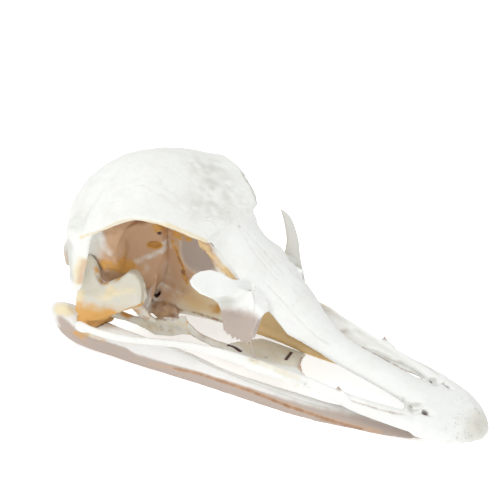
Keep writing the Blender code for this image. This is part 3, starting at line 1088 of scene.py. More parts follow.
ROOF_STROKES = (
    Stroke(((53, 0, 80), (60, 0, 78), (70, 0, 72.5), (80, 0, 67.5), (89, 0, 61.8)), 1, lift=0.16),
    Stroke(((89.2, -0.5, 61.7), (94.1, -1.6, 57.5), (99.3, -2.4, 52.6), (104.3, -2.5, 48.3),
            (109.5, -2.5, 44.6)), 0.7, Mark.UMBER, 0.5, 0.3, -0.26),
    Stroke(((50, -1, 80.5), (60, -0.8, 78), (70, -0.8, 72.5), (80, -0.8, 67.5), (89.2, -0.5, 61.7)),
           0.7, Mark.UMBER, 0.15, 0.3, -0.14),
    Stroke(((91.5, 0, 60.1), (96.2, 0, 55.6), (101.8, 0, 50.5), (107.4, 0, 46), (113, 0, 43)),
           0.6, Mark.GREY, 0.6, lift=-0.15),
    Stroke(((107.7, -7.9, 44.5), (115.4, -7.8, 38.8), (122, -7.3, 33), (129.5, -6, 26.5),
            (134.3, -4.9, 24.3)), 0.7, Mark.GREY, 0.8, lift=-0.22),
    Stroke(((110, -10.6, 41), (117, -10.2, 35), (123.1, -9, 29.7)), 0.6, Mark.GREY, 0.5, lift=-0.15),
    Stroke(((107.1, -20, 35), (105.8, -16.5, 41.7), (105.1, -14.6, 45), (103.5, -12.2, 49.5),
            (101.5, -9.7, 53.9)), 0.8, Mark.GREY, 0.55, lift=0.2),
)
SEPTUM_FOOT = ((56, -5.8, 18), (64, -4.5, 16), (70, -3, 18))
ORBIT_STROKES = (
    Stroke(((41.5, -27.2, 58), (42, -26.8, 52.5), (44, -25, 47.5)), 3.2, Mark.TAN, -0.4, 0.2, 1),
    Stroke(((46.8, -13.5, 38), (50.5, -8, 39.4), (54.5, -4, 41.6), (57.6, -1.4, 43.8)),
           2.8, Mark.TAN, -0.55, 0.3, 0.5),
    Stroke(((54.2, -4.6, 44.6), (55.6, -2.4, 45.6)), 2.4, Mark.TAN, -0.7, lift=0.5),
    Stroke(((54.3, -6.4, 53.1), (56.4, -2.2, 50.8), (60, -1.2, 49.8), (65, -1.2, 49.6)),
           4.2, Mark.OCHRE, 1.1, 0.55, 0.5),
    Stroke(((58, -1.2, 45.5), (59.1, -1.2, 41.6), (60.3, -1.2, 38), (62.4, -1.1, 34.5),
            (62.8, -1.2, 30.5), (64.2, -1.2, 27)), 1.7, Mark.OCHRE, 1, 0.5, 0.3),
    Stroke(((59.1, -1.2, 41.6), (60.3, -1.2, 38), (62.2, -1.1, 34.5)), 0.9, Mark.UMBER, 0.7, 0.5, -0.3),
    Stroke(((62.2, -1.2, 32), (63.5, -1.2, 28.5)), 2.6, Mark.UMBER, 0.75, 0.9, -0.3),
    Stroke(((58, -3.5, 15.3), (66.8, -3.3, 15.6), (75, -2.5, 15.6), (84, -2.8, 15.2)),
           1.8, Mark.UMBER, 0.75, 0.3),
    Stroke(((78.2, -1.2, 19.5),), 6, Mark.OCHRE, 0.75, 0.3),
    Stroke(((58, -3, 24), (70, -2, 22), (82, -2, 20)), 9, Mark.IVORY, 0.4, 0.1),
    Stroke(((50, -16.5, 14),), 5, Mark.OCHRE, 0.9, 0.6, 0.2),
    Stroke(((42, -26, 41), (45.4, -22.4, 41.5), (47.5, -17, 38)), 5, Mark.OCHRE, 1, 0.8, 0.6),
    Stroke(((41.2, -34, 49.5), (39, -31, 44)), 4, Mark.OCHRE, 0.9, 0.7, 0.3),
    Stroke(((46, -19, 44), (48.4, -12.2, 34.1)), 4.5, Mark.OCHRE, 0.45, 0.8, 0.2),
    Stroke(((78, -13.6, 57), (84, -13.6, 55), (90, -13.6, 49.5), (97.5, -13.6, 45)),
           3.6, Mark.AMBER, 0.9, 0.5),
    Stroke(((80.5, -13.6, 56), (86, -13.6, 50.5), (92, -13.6, 46.5)), 1.1, Mark.UMBER, 0.6, 0.5, -0.4),
    Stroke(((84, -13.6, 57), (89.5, -13.6, 51), (96.5, -13.6, 45.8)), 0.9, Mark.UMBER, 0.6, 0.5, -0.4),
    Stroke(((42, -38.3, 50), (39.5, -38, 44), (38, -38, 38)), 3.6, Mark.TAN, 0.6),
    Stroke(((43.6, -26, 58), (47, -21.7, 58.6), (49, -17.5, 58.6), (50.5, -11.6, 57)),
           6, Mark.UMBER, 0.46, 0.1),
    Stroke(((53.8, -2.4, 34), (54.5, -2.6, 28)), 6, Mark.TAN, -0.3, 0.2),
    Stroke(((51.5, -4, 21), (56, -3, 21), (66, -2, 23)), 6.5, Mark.TAN, 0.6, 0.2),
    Stroke(((17, -22, 40), (19, -23, 32)), 6, Mark.GREY, 0.9, 0.1),
    Stroke(((17, -22, 38), (19, -23, 32)), 4, Mark.TAN, 0.55, 0.3),
    Stroke(SEPTUM_FOOT, 6, Mark.IVORY, 0.45, 0.1),
    Stroke(SEPTUM_FOOT, 6, Mark.TAN, 0.3, 0.1),
    Stroke(((41, -38.3, 50), (38, -38, 44), (37, -38, 38)), 5, Mark.IVORY, 0.7, 0.1),
    Stroke(((35, -38, 56), (33.5, -38, 48), (34, -37.5, 40)), 6, Mark.GREY, 0.9, 0.1),
    Stroke(((46, -22, 36), (50, -13, 30)), 5, Mark.OCHRE, 0.35, 0.6),
)
BILL_RIM = ((100.3, -22.5, 19.5), (110.4, -25, 20.2), (116.7, -24, 20), (123, -23.2, 18.8),
            (130, -21.8, 17.2))
BILL_STROKES = (
    # Near-black painted shade in two slits and a dent that stand for holes.
    Stroke(((94, -16.6, 16), (98, -16.8, 16.2), (101.5, -18.2, 17)),
           1.2, Mark.DARK, 1, lift=-0.3, soft=0.5),
    Stroke(((118.5, -11.5, 15.8), (117.2, -6.5, 14.6), (116.5, -3.5, 13.8)),
           1, Mark.DARK, 1, lift=-0.3, soft=0.5),
    Stroke(((111.8, -15.6, 16.8),), 1, Mark.DARK, 1, lift=-0.3, soft=0.5),
    Stroke(((124, -5, 13.5), (127, -13, 15.2), (130, -17, 16.2)), 4.2, Mark.MAUVE, 0.6, 0.2),
    Stroke(((124, -5, 13.5), (126.5, -11, 15), (128, -14.4, 15.6)), 3.8, Mark.TAN, 0.95, 0.2),
    # Umber along the lower edge of the inner naris wall: stain, and partly painted shade.
    Stroke(((138, -17.6, 10.6), (146, -17, 9.6), (155, -16, 9), (164, -14, 8.9), (171, -11.6, 9.2)),
           1.8, Mark.UMBER, 0.75, 0.2),
    # A groove on the inner margin of the near bar, darkened with umber: painted shade.
    Stroke(((150, -19.4, 14.1), (153.3, -19.2, 13.9), (161.1, -18, 13.5), (168.6, -16.3, 13.2),
            (174, -14, 13.2)), 0.9, Mark.UMBER, 0.62, 0.1, -0.4),
    # Near-black painted shade in two dents that stand for holes.
    Stroke(((173.6, -8.3, 12.2),), 1.3, Mark.DARK, 0.6, 0.2, -0.3),
    Stroke(((177.2, -9.8, 13.3), (178.6, -9.7, 13.3)), 1.8, Mark.DARK, 0.8, 0.2, -0.6),
    # Grey on the inner lamella, whose face turns from the light: painted shade.
    Stroke(tuple(station[:3] for station in NARIS_LAMELLA), 1.6, Mark.GREY, 1, 0.3),
    Stroke(((167, -6.2, 13.4), (172.9, -12.9, 11.8), (170.4, -8.4, 12.9), (176.4, -6, 13.2)),
           1.6, Mark.GREY, 0.9, 0.3),
    # A sunk groove by the lattice and the umber in it: painted shade for a hole.
    Stroke(((174.5, -11.4, 13), (177.8, -10.4, 13.4), (180, -9.4, 13)), 2, lift=-0.9),
    Stroke(((175.4, -11.2, 12.4), (177.8, -10.4, 12.6), (179.6, -9.6, 12.4)), 1.4, Mark.UMBER, 0.9, 0.3),
    Stroke(((146.5, -19.6, 18),), 2.6, Mark.MAUVE, 0.9),
    Stroke(((131, -23.6, 15),), 2.6, Mark.IVORY, 0.7, 0.2),
    Stroke(BILL_RIM, 3, Mark.IVORY, 0.5, 0.1),
    Stroke(BILL_RIM, 3.4, Mark.GREY, 0.45, 0.1),
)
JAW_STROKES = (
    Stroke(((64.4, -29.4, 3.2), (87.7, -26.9, 5.6), (109.9, -24.4, 4.7), (127.5, -22.6, 3),
            (143.8, -20.3, 1.8), (163, -16, 1.3)), 2.2, Mark.TAN, 0.62, 0.05, -0.15),
    # Mauve along the jaw's lower edge and umber at its foot: stain, and partly painted shade on the
    # underside.
    Stroke(((64.4, -29.4, 2.8), (87.7, -26.9, 4), (109.9, -24.5, 3), (127.5, -23.2, 1.6),
            (143.8, -20.5, 0.8), (163, -16, 0.8), (176, -11.5, 1)), 3.4, Mark.MAUVE, 1, 0.05),
    Stroke(((87.7, -26.9, 2.4), (109.9, -24.5, 1.4), (127.5, -23.2, 0.4), (143.8, -20.5, 0.2),
            (163, -16, 0.1)), 1.8, Mark.UMBER, 0.3, 0.1),
    Stroke(((76, -28.2, 4.6), (87.7, -26.9, 5.4), (109.9, -24.4, 4.5), (127.5, -22.6, 2.8),
            (143.8, -20.3, 1.7), (156, -17.8, 1.3)), 1.4, Mark.UMBER, 0.64, 0.15),
    # Mauve along the lower edge: stain, and partly painted shade on the underside.
    Stroke(((100, -25.3, 2.2), (127.5, -23.2, 0.8), (143.8, -20.5, 0.4), (163, -16, 0.3), (178, -11, 0.4)),
           1.6, Mark.MAUVE, 0.9, 0.1),
    Stroke(((86.7, -25.3, 11.2), (97.8, -23.9, 9.3), (109, -22.9, 7.7), (119.6, -21.5, 6.7),
            (130.1, -20.1, 5.7), (142, -17.5, 5.1)), 0.7, Mark.GREY, 0.7, lift=-0.35),
    Stroke(((50.5, -30.8, 9.7), (60.2, -29.8, 10.7)), 2.4, Mark.TAN, 0.35, 0.3),
    Stroke(((20, -33, 16), (27, -33, 18), (33, -34, 16), (35, -33, 9)), 6, Mark.IVORY, 0.8, 0.1),
    Stroke(((20, -33, 16), (27, -33, 18), (33, -34, 16)), 6, Mark.GREY, 0.8, 0.1),
    Stroke(((26, -33.7, 8), (34, -33.5, 6)), 3.6, Mark.OCHRE, 0.4, 0.3),
    Stroke(((30, -33.5, 8), (36, -33.5, 9), (43, -32, 8)), 2.6, Mark.OCHRE, 0.4, 0.5),
    Stroke(((22, -32, 11), (28, -33.6, 7), (40, -32, 4), (52, -31, 4)), 6, Mark.MAUVE, 1.1, 0.1),
    Stroke(((24, -33.5, 8), (30, -33.6, 5), (38, -32.5, 3)), 4, Mark.UMBER, 0.3, 0.2),
)


def stain_and_shade_orbit(work: Carving) -> None:
    """Carves, stains and paints shade into the hollow behind the eye and the wall between the two eyes.

    Args:
        work: The skin of a bone that takes part in the orbit.
    """
    # Tan over the orbit's hollow, kept off faces turned up to the light: stain, and partly painted shade.
    roofless = 1 - work.facing((0, 0, 1), 0.25, 0.6)
    inside = work.near((58, -16, 48), (34, 30, 34), 0.25) * roofless
    inside *= 1 - 0.8 * soft_step(np.abs(work.folded[:, 1]), 25, 29)
    inside *= 1 - soft_step(np.abs(work.folded[:, 1]), 33, 37)
    work.stain(Mark.TAN, inside, 0.9)
    front = work.near((70, -1.2, 45), (13, 3, 15), 0.4) * (work.folded[:, 1] > -3.0)
    front *= soft_step(work.folded[:, 0], 59, 63)
    work.clean(Mark.TAN, front * 0.8)
    work.stain(Mark.MAUVE, front, 0.8)
    foot = work.near((72, -2, 21), (21, 7, 12), 0.9)
    work.clean(Mark.TAN, foot * 0.9)
    work.clean(Mark.MAUVE, foot * 0.8)
    work.stain(Mark.AMBER, foot, 0.65)
    base = work.near((57, -8, 14), (10, 8, 6), 0.4)
    work.clean(Mark.TAN, base)
    work.stain(Mark.MAUVE, base, 0.6)
    work.stain(Mark.OCHRE, base, 0.5)
    work.stain(Mark.UMBER, base * (0.75 + 0.6 * work.noise(1.8, 31)), 0.5)
    work.push(base * work.noise(2.4, 32), 0.5)
    under = work.facing((0, 0, -1), 0.0, 0.4)
    # Umber on the down-facing underside of the brow: painted shade.
    work.stain(Mark.UMBER, work.near((66, -16, 62), (30, 24, 9), 0.5) * under, 0.42)
    work.stain(Mark.OCHRE, work.near((78, -16, 62), (18, 14, 9), 0.6) * under, 0.6)
    work.draw(ORBIT_STROKES)
    work.push(work.near((52.2, -6.4, 44.4), (3.8, 3.4, 1.7), 0.6), -1.8)
    work.push(work.near((50.9, -5.4, 20.2), (2.2, 3.2, 2.0), 0.6), -2.4)
    work.push(work.near((53.9, -4.8, 50.2), (1.1, 1.6, 1.0), 0.6), -1.2)
    # Ochre in the first dent is stain and the umber in it partly painted shade; near-black in the other
    # two dents is painted shade for holes.
    work.stain(Mark.OCHRE, work.near((52.2, -6.4, 44.3), (4.6, 4.0, 2.4), 0.4), 1.0)
    work.stain(Mark.UMBER, work.near((51.6, -7.0, 45.0), (3.6, 3.4, 1.6), 0.7), 0.6)
    work.stain(Mark.DARK, work.along(((50.4, -6.6, 22.0), (51.2, -4.8, 18.6)), 2.0, 0.5), 1.0)
    work.stain(Mark.DARK, work.near((53.9, -4.8, 50.2), (1.4, 2.2, 1.4), 0.5), 0.9)
    ear = work.near((38, -26, 40), (12, 9, 10), 0.6) * roofless
    work.push(ear * work.noise(1.8, 8), 0.4)


@dataclass
class UpperSkull(Bone):
    """Braincase, brows, bridge of the nose, bill and cheek bars, fused as in the adult.

    Attributes:
        brow_edge: A line along the edge of the right brow.
        sutures: X of the joints between the solids, which are smoothed away.
        left_strut: Where the strut of the left nasal is broken off.
    """

    grain: float = 0.57
    closing: float = 0.45
    brow_edge: Outline = (
        (42, -39.7, 61), (44, -39.3, 62.4), (49.6, -36.8, 65), (56.7, -34.2, 69.5),
        (61, -32.2, 70.8), (68.3, -29.4, 71), (75, -25.5, 69.5), (81, -22.5, 66.5),
        (86.5, -18.2, 62.4),
    )
    sutures: tuple[float, ...] = (87, 118.8, 175.6)
    left_strut: Point = (100, 14.5, 40)

    def start(self) -> list[Object]:
        """Copies of the solids, with the strut of the left nasal broken off as in life.

        Returns:
            One object per node.
        """
        pieces = super().start()
        cut = {"plane_co": self.bench.ruler.place(self.left_strut), "plane_no": (0, 1, 0)}
        with editing(pieces[list(self.nodes).index("nasals")]):
            bpy.ops.mesh.bisect(**cut, use_fill=True, clear_outer=True)
        return pieces

    def model(self) -> list[Object]:
        """Plates, bars and lumps on both sides, and two that only the right side has.

        Returns:
            The new shapes.
        """
        bench = self.bench
        made = []
        for side in Side:
            made += [
                bench.plate(NASAL_WALL, 1.0, side),
                bench.plate(SHELF, 1.2, side),
                bench.plate(SPIKE, 1.0, side),
                bench.plate(NARIS_WALL, 1.1, side, flat=False),
                bench.bar(ORBIT_BLADE, FORWARD, side),
                bench.bar(NARIS_STRUT, FORWARD, side),
                bench.bar(NARIS_BRANCH, SIDEWAYS, side),
                bench.bar(NARIS_LAMELLA, SIDEWAYS, side, 24),
                bench.ball((57, -8, 14.5), (7, 4, 3.4), side),
                bench.ball((41.6, -19, 48), (4.6, 6.5, 10), side),
                bench.ball((35.5, -36.2, 15), (3.4, 2.3, 2.5), side),
            ]
        return [*made, bench.plate(TAG, 1.1), bench.plate(NASAL_PROCESS, 1.5, flat=False)]

    def carve(self, work: Carving) -> None:
        """Carves the roof, orbits and bill, and lays their stains and painted shade.

        Args:
            work: The skin.
        """
        spike = work.along(((144, -19.6, 16), (150, -19.6, 15)), 5, 0.4)
        tag = work.along(((129, -23.6, 15), (134, -23.6, 15)), 4, 0.4)
        lattice = work.along(((167, -8, 12.5), (176, -8, 12.5)), 7, 0.4)
        kept = np.clip(spike + tag + lattice, 0, 1)
        free = 1 - kept
        work.relax(12, 1 - 0.85 * kept)
        gaps = [np.abs(work.points[:, 0] - place) for place in self.sutures]
        joints = sum(1 - soft_step(gap, 1.5, 4) for gap in gaps)
        hollow = work.near((52, -14, 44), (16, 16, 22), 0.3)
        work.relax(30, np.clip(joints, 0, 1) * free, 0.51)
        work.relax(60, hollow * free, 0.505)
        self._roof(work)
        stain_and_shade_orbit(work)
        self._bill(work)

    def _roof(self, work: Carving) -> None:
        """Carves and stains the forehead, its midline seam and the edge of the brows, and paints shade on
        the far side.

        Args:
            work: The skin.
        """
        top = work.facing((0, 0, 1), 0.1, 0.5)
        work.push(top * work.noise(14, 1), 0.22)
        work.push(top * work.noise(5, 2), 0.07)
        edge = work.along(self.brow_edge, 1.7)
        work.push(edge * work.noise(2.6, 3), 0.45)
        work.push(edge * work.noise(1.2, 4), 0.2)
        work.stain(Mark.IVORY, edge * (work.points[:, 1] < 0), 0.75)
        # Grey and broken umber on the far brow edge, turned from the light: painted shade.
        shaded_far_edge = edge * (work.points[:, 1] > 0)
        work.stain(Mark.GREY, shaded_far_edge)
        work.stain(Mark.UMBER, shaded_far_edge * soft_step(work.noise(1.6, 11), -0.3, 0.4), 0.6)
        work.draw(ROOF_STROKES)
        veins = work.near((80, -6, 67), (24, 20, 12)) + work.near((60, -14, 77), (14, 10, 8), 0.8)
        work.stain(Mark.VEINS, veins * top, 0.95)
        patches = 0.6 + 0.5 * soft_step(work.noise(2.2, 12), -0.5, 0.6)
        work.stain(Mark.GREY, work.near((78, 0, 70), (28, 30, 16), 0.8) * top * patches, 0.5)
        # Grey on the far slope of the forehead, turned from the light: painted shade broken into patches.
        far = soft_step(work.points[:, 1], -4, 8)
        work.stain(Mark.GREY, work.near((64, -15, 76), (24, 20, 12), 1.0) * far * patches, 0.46)
        work.stain(Mark.GREY, work.near((104, 8, 48), (12, 9, 10)) * top, 0.5)

    def _bill(self, work: Carving) -> None:
        """Carves and stains the grooves, pores and edges of the bill, and paints shade in and round the
        naris.

        Args:
            work: The skin.
        """
        tip = work.near((194, 0, 9), (15, 22, 10), 0.6)
        work.stain(Mark.PORES, tip, 1.2)
        work.push(tip * work.noise(1.4, 9), 0.1)
        work.stain(Mark.VEINS, work.near((116, -6, 38), (14, 12, 12)), 0.6)
        # Mauve and grey on the low plate in front of the orbit, which turns down from the light: painted
        # shade.
        shaded_process = work.near((109, -21, 33), (6, 8, 9), 0.7)
        work.stain(Mark.MAUVE, shaded_process, 0.7)
        work.stain(Mark.GREY, shaded_process, 0.6)
        shelf = work.near((112, -11, 15), (20, 13, 3.4), 0.25) * (np.abs(work.points[:, 1]) < 21)
        work.stain(Mark.MAUVE, shelf, 0.2)
        work.stain(Mark.GREY, shelf, 0.35)
        work.stain(Mark.IVORY, shelf, 0.45)
        end = work.near((196, 0, 8), (13, 22, 10), 1.0)
        work.stain(Mark.GREY, end, 0.7)
        work.stain(Mark.IVORY, end, 0.35)
        work.draw(BILL_STROKES)


LOBE: Outline = (
    (101.5, -11.7, 46.2), (99, -20, 50.5), (95, -23.5, 54.4), (93, -26, 56),
    (91, -29.5, 56.5), (90, -32, 56), (89.8, -34.5, 54.5), (91, -34.7, 52.5),
    (93.5, -33.5, 49.8), (96.5, -30, 46.6), (98.7, -26.5, 46.4), (100.5, -23.5, 45.8),
    (101.5, -20.5, 46.2), (102.8, -16.7, 44.7), (104.2, -12.1, 42.9),
)
PLATE_REAR: Outline = ((93, -29.5, 47.5), (95, -24, 41), (96, -22.5, 35), (97.5, -24, 29))
PLATE_FRONT: Outline = (
    (110, -22.5, 30), (109.5, -20.5, 36), (108, -18, 42), (106, -16.5, 45.5), (98, -23.5, 50),
)
FAR_HORN: Run = (
    (92.5, -27, 57.5, 0.3, 0.3), (96, -26.5, 54, 1.7, 0.7), (100, -24, 47, 2.5, 0.9),
    (101.5, -21.5, 42, 3.2, 0.9), (103.5, -20, 38, 3, 0.9), (106, -19, 34, 2.5, 0.9),
    (109, -18, 30.5, 1.2, 0.8),
)
HORN_ROOT: Run = (
    (103, -11.5, 44, 2.6, 3), (103.8, -15, 42, 2.4, 2.8), (104.2, -18.4, 39.8, 1.6, 2.2),
)
LACRIMAL_ROD: Run = (
    (106.4, -18.4, 38.0, 0.4, 0.4), (108.0, -21.2, 32.4, 0.45, 0.45), (109.4, -23.0, 29.0, 0.5, 0.5),
    (110.6, -24.3, 26.6, 0.42, 0.42), (112.2, -25.5, 23.8, 0.5, 0.5), (112.6, -25.8, 22.4, 0.8, 0.7),
)


@dataclass
class Septum(Bone):
    """The thin wall between the orbits and the rod at its foot."""

    def model(self) -> list[Object]:
        """A plate and a bar that root the wall in the braincase.

        Returns:
            The new shapes.
        """
        wall = ((50, 0, 51), (61, 0, 51), (62, 0, 17), (45, 0, 14), (45, 0, 25), (50, 0, 34))
        rod = ((48, 0, 21, 3.2, 3.4), (58, 0, 18.5, 3.2, 3.2), (68, 0, 17.5, 2.6, 2.4))
        return [self.bench.plate(wall, 2.0), self.bench.bar(rod, SIDEWAYS)]

    def carve(self, work: Carving) -> None:
        """Stains the wall and the rod.

        Args:
            work: The skin.
        """
        work.relax(12)
        stain_and_shade_orbit(work)
        rod = soft_step(work.points[:, 0], 84, 96) * (1 - soft_step(work.points[:, 2], 34, 42))
        work.clean(Mark.TAN, rod)
        work.stain(Mark.AMBER, rod, 0.85)
        streaks = lattice_noise(work.points * [0.12, 1, 1], 1.6, 21)
        work.stain(Mark.OCHRE, rod * soft_step(streaks, -0.1, 0.5), 0.4)
        work.push(rod * streaks, 0.12)


@dataclass
class Lacrimal(Bone):
    """The horn in front of the orbit, the ragged plate below it and its thin strut.

    Attributes:
        ragged: How far each tooth of the plate's broken edge hangs down.
    """

    grain: float = 0.27
    keeps_solid: bool = False
    ragged: tuple[float, ...] = (0.7, 1.8, 1.2, 2.2, 1.4)

    def model(self) -> list[Object]:
        """The thick lobe, the thin plate and the strut; the left plate is broken off short.

        Returns:
            The new shapes.
        """
        if self.side is Side.LEFT:
            horn = self.bench.bar(FAR_HORN, (0.9, 0.3, -0.3), self.side, 28)
            return [horn, self.bench.bar(HORN_ROOT, FORWARD, self.side)]
        lobe = self.bench.plate(LOBE, 2.2, flat=False)
        teeth = [
            (98.5 + 1.1 * tooth, -24, 28.8 - 0.15 * tooth - (tooth % 2) * self.ragged[tooth // 2])
            for tooth in range(10)
        ]
        plate = self.bench.plate((*PLATE_REAR, *teeth, *PLATE_FRONT), 1.1, flat=False)
        return [lobe, plate, self.bench.bar(LACRIMAL_ROD, FORWARD, rings=28)]

    def carve(self, work: Carving) -> None:
        """Evens the lobe out, and paints shade on the plate below it and on the far horn.

        Args:
            work: The skin.
        """
        high = soft_step(work.points[:, 2], 38, 44)
        work.relax(60, 0.08 + 0.92 * high, 0.507)
        # Mauve on the lower plate, which turns down from the light: painted shade.
        low = 1 - soft_step(work.points[:, 2], 33, 44)
        work.stain(Mark.MAUVE, low, 1.0 if self.side is Side.RIGHT else 0.15)
        work.push(low * work.noise(2.2, 3), 0.12)
        # Grey under the lobe: painted shade.
        work.stain(Mark.GREY, work.near((99, -24, 41), (9, 8, 7)), 0.8)
        # The far horn is seen from its back, turned from the light: grey all over it is painted shade.
        if self.side is Side.LEFT:
            work.stain(Mark.GREY, 0.9)


QUADRATE_BLOCK: Outline = (
    (35.5, -29, 42.5), (37, -29, 41.5), (39.5, -29, 37.5), (42, -29, 34),
    (46, -28, 33.5), (48, -26.5, 36), (51, -25, 39.5), (53, -24.5, 41.5),
    (55.5, -23.5, 41.5), (57.5, -23.5, 39), (59, -24, 35), (59, -25, 29),
    (54, -27, 26), (47.5, -29.5, 21.5), (38.5, -33, 17.5), (34, -34, 18.5),
    (31, -34, 21.5), (32, -33, 27), (32.5, -31.5, 34), (34, -30, 38.5),
)


@dataclass
class Quadrate(Bone):
    """The block that carries the jaw joint."""

    grain: float = 0.34
    ease: int = 24

    def model(self) -> list[Object]:
        """The broad block between the two horns of the bone."""
        return [self.bench.plate(QUADRATE_BLOCK, 4.5, self.side)]

    def carve(self, work: Carving) -> None:
        """Gives the block its worn surface, its stains and painted shade at its foot.

        Args:
            work: The skin.
        """
        work.relax(10)
        work.push(work.noise(5, 1), 0.45)
        work.push(work.noise(1.8, 2), 0.15)
        # Ivory and grey over the whole block: its own tone, and partly painted shade.
        work.stain(Mark.IVORY, 0.36)
        work.stain(Mark.GREY, 0.5)
        height = work.points[:, 2]
        work.stain(Mark.OCHRE, 1 - soft_step(height + 2.5 * work.noise(4, 5), 18, 33), 1.05)
        # Umber darkening towards the foot of the block: painted shade.
        work.stain(Mark.UMBER, 1 - soft_step(height + 1.5 * work.noise(2.5, 6), 15, 22), 0.42)
        work.draw((
            Stroke(((47, -31, 33.5),), 4, Mark.IVORY, 0.5, 0.3, -0.6),
            Stroke(((34, -30.5, 40), (37, -29, 42), (42, -29, 35.5), (47, -28, 34.5), (52, -25, 40.5)),
                   2.4, Mark.OCHRE, 0.75, 0.6, 0.1),
            Stroke(((40, -33.5, 20), (47, -31, 21.5), (53, -28, 25.5)), 1.6, Mark.UMBER, 0.35, 0.6, -0.6),
            Stroke(((43, -32, 29), (50, -28.5, 33), (56, -25.5, 35)), 2.6, Mark.IVORY, 0.3, 0.3, 0.5),
            Stroke(((38, -32, 24), (37, -32, 32)), 2.2, Mark.GREY, 0.6, 0.3, -0.5),
            Stroke(((56.5, -24.5, 31), (57, -24.2, 27)), 2.2, Mark.OCHRE, 0.6, 0.6),
            Stroke(((33.5, -34, 24), (35, -34, 30)), 3, Mark.IVORY, 0.6, 0.2),
            Stroke(((47, -30, 19),), 2.2, Mark.UMBER, 0.8, 0.9, -0.4),
        ))


BLADE: Outline = (
    (46, -19.5, 14), (56, -17, 15), (63, -15.5, 17), (71.5, -13, 19), (74, -12.5, 13.5),
    (73, -12.5, 11), (70, -13.5, 10.5), (65, -14.5, 8.5), (58, -16.5, 8), (52, -18, 10.5),
)
BLADE_FOOT: Run = (
    (40, -25, 18, 2.4, 2), (44.5, -21.6, 15.5, 2, 1.8), (49, -19, 13.4, 1.6, 1.6),
    (55, -17, 12, 1.2, 1.4),
)
BLADE_HEEL: Run = (
    (50, -21.5, 25.5, 2.8, 2), (52.5, -20.2, 21.5, 3.2, 2), (55, -18.6, 17.5, 3, 1.8),
    (59, -16.8, 14.5, 2, 1.2),
)


@dataclass
class Pterygoid(Bone):
    """The blade between the jaw joint and the palate, thinner than its solid."""

    grain: float = 0.3
    ease: int = 4
    keeps_solid: bool = False

    def model(self) -> list[Object]:
        """The blade, its rolled upper edge and its foot at the jaw joint.

        Returns:
            The new shapes.
        """
        edge = tuple((*point, 0.8, 0.8) for point in BLADE[:4])
        return [
            self.bench.plate(BLADE, 1.4, self.side),
            self.bench.bar(BLADE_HEEL, FORWARD, self.side),
            self.bench.bar(edge, SIDEWAYS, self.side),
            self.bench.bar(BLADE_FOOT, SIDEWAYS, self.side),
        ]

    def carve(self, work: Carving) -> None:
        """Roughens the blade a little and stains its ends.

        Args:
            work: The skin.
        """
        work.push(work.noise(4, 1), 0.3)
        work.draw((
            Stroke(((58, -16.2, 11.5), (68, -14, 13)), 3, Mark.GREY, 0.6, 0.5, -0.5),
            Stroke(((73, -13, 17), (73.5, -12.8, 11.5)), 2.4, Mark.AMBER, 0.7, 0.6, 0.1),
            Stroke(((46, -20, 14.5), (50, -21, 24), (55, -18.6, 18)), 5, Mark.OCHRE, 0.9, 0.4),
            Stroke(((50, -21, 21), (58, -17.4, 16), (68, -14, 18.5)), 2.2, Mark.UMBER, 0.6, 0.5),
            Stroke(((56, -17, 12), (66, -14.5, 11)), 2.6, Mark.TAN, 0.5, 0.5),
            Stroke(((50, -18, 12), (72, -13, 15)), 7, Mark.IVORY, 0.5, 0.4),
        ))


@dataclass
class Palatine(Bone):
    """The thin bar from the pterygoid to the shelf of the palate."""

    grain: float = 0.3
    ease: int = 4

    def carve(self, work: Carving) -> None:
        """Stains the bar, and darkens its down-facing lower edge with painted shade.

        Args:
            work: The skin.
        """
        work.relax(6)
        work.push(work.noise(2.5, 1), 0.12)
        work.stain(Mark.MAUVE, 0.5 + 0.5 * work.noise(5, 2), 0.6)
        # Umber on the faces that turn down: painted shade.
        work.stain(Mark.UMBER, work.facing((0, 0, -1), 0.0, 0.5), 0.6)


@dataclass
class LowerJaw(Bone):
    """Both halves of the lower jaw and the chin, fused in the adult."""

    grain: float = 0.42
    closing: float = 0.3

    def carve(self, work: Carving) -> None:
        """Carves the jaw's long grooves and lays its stains, with partly painted shade on its lower side.

        Args:
            work: The skin.
        """
        work.relax(14)
        # Mauve on the lower outer face of the jaw, turned from the light: stain, and partly painted shade.
        height = work.folded[:, 2] + 0.02 * (work.folded[:, 0] - 60)
        lower = 1 - soft_step(height, 4.5, 8.5)
        work.stain(Mark.MAUVE, lower * work.facing((0, -1, 0), 0.0, 0.4), 0.9)
        work.push(work.noise(4, 1), 0.12)
        work.draw(JAW_STROKES)
        work.stain(Mark.PORES, work.near((190, 0, 6), (14, 20, 8), 0.6), 0.8)
        work.points[:, 2] = np.maximum(work.points[:, 2], FLOOR_GAP)


# --------------------------------------------------------------------- studio

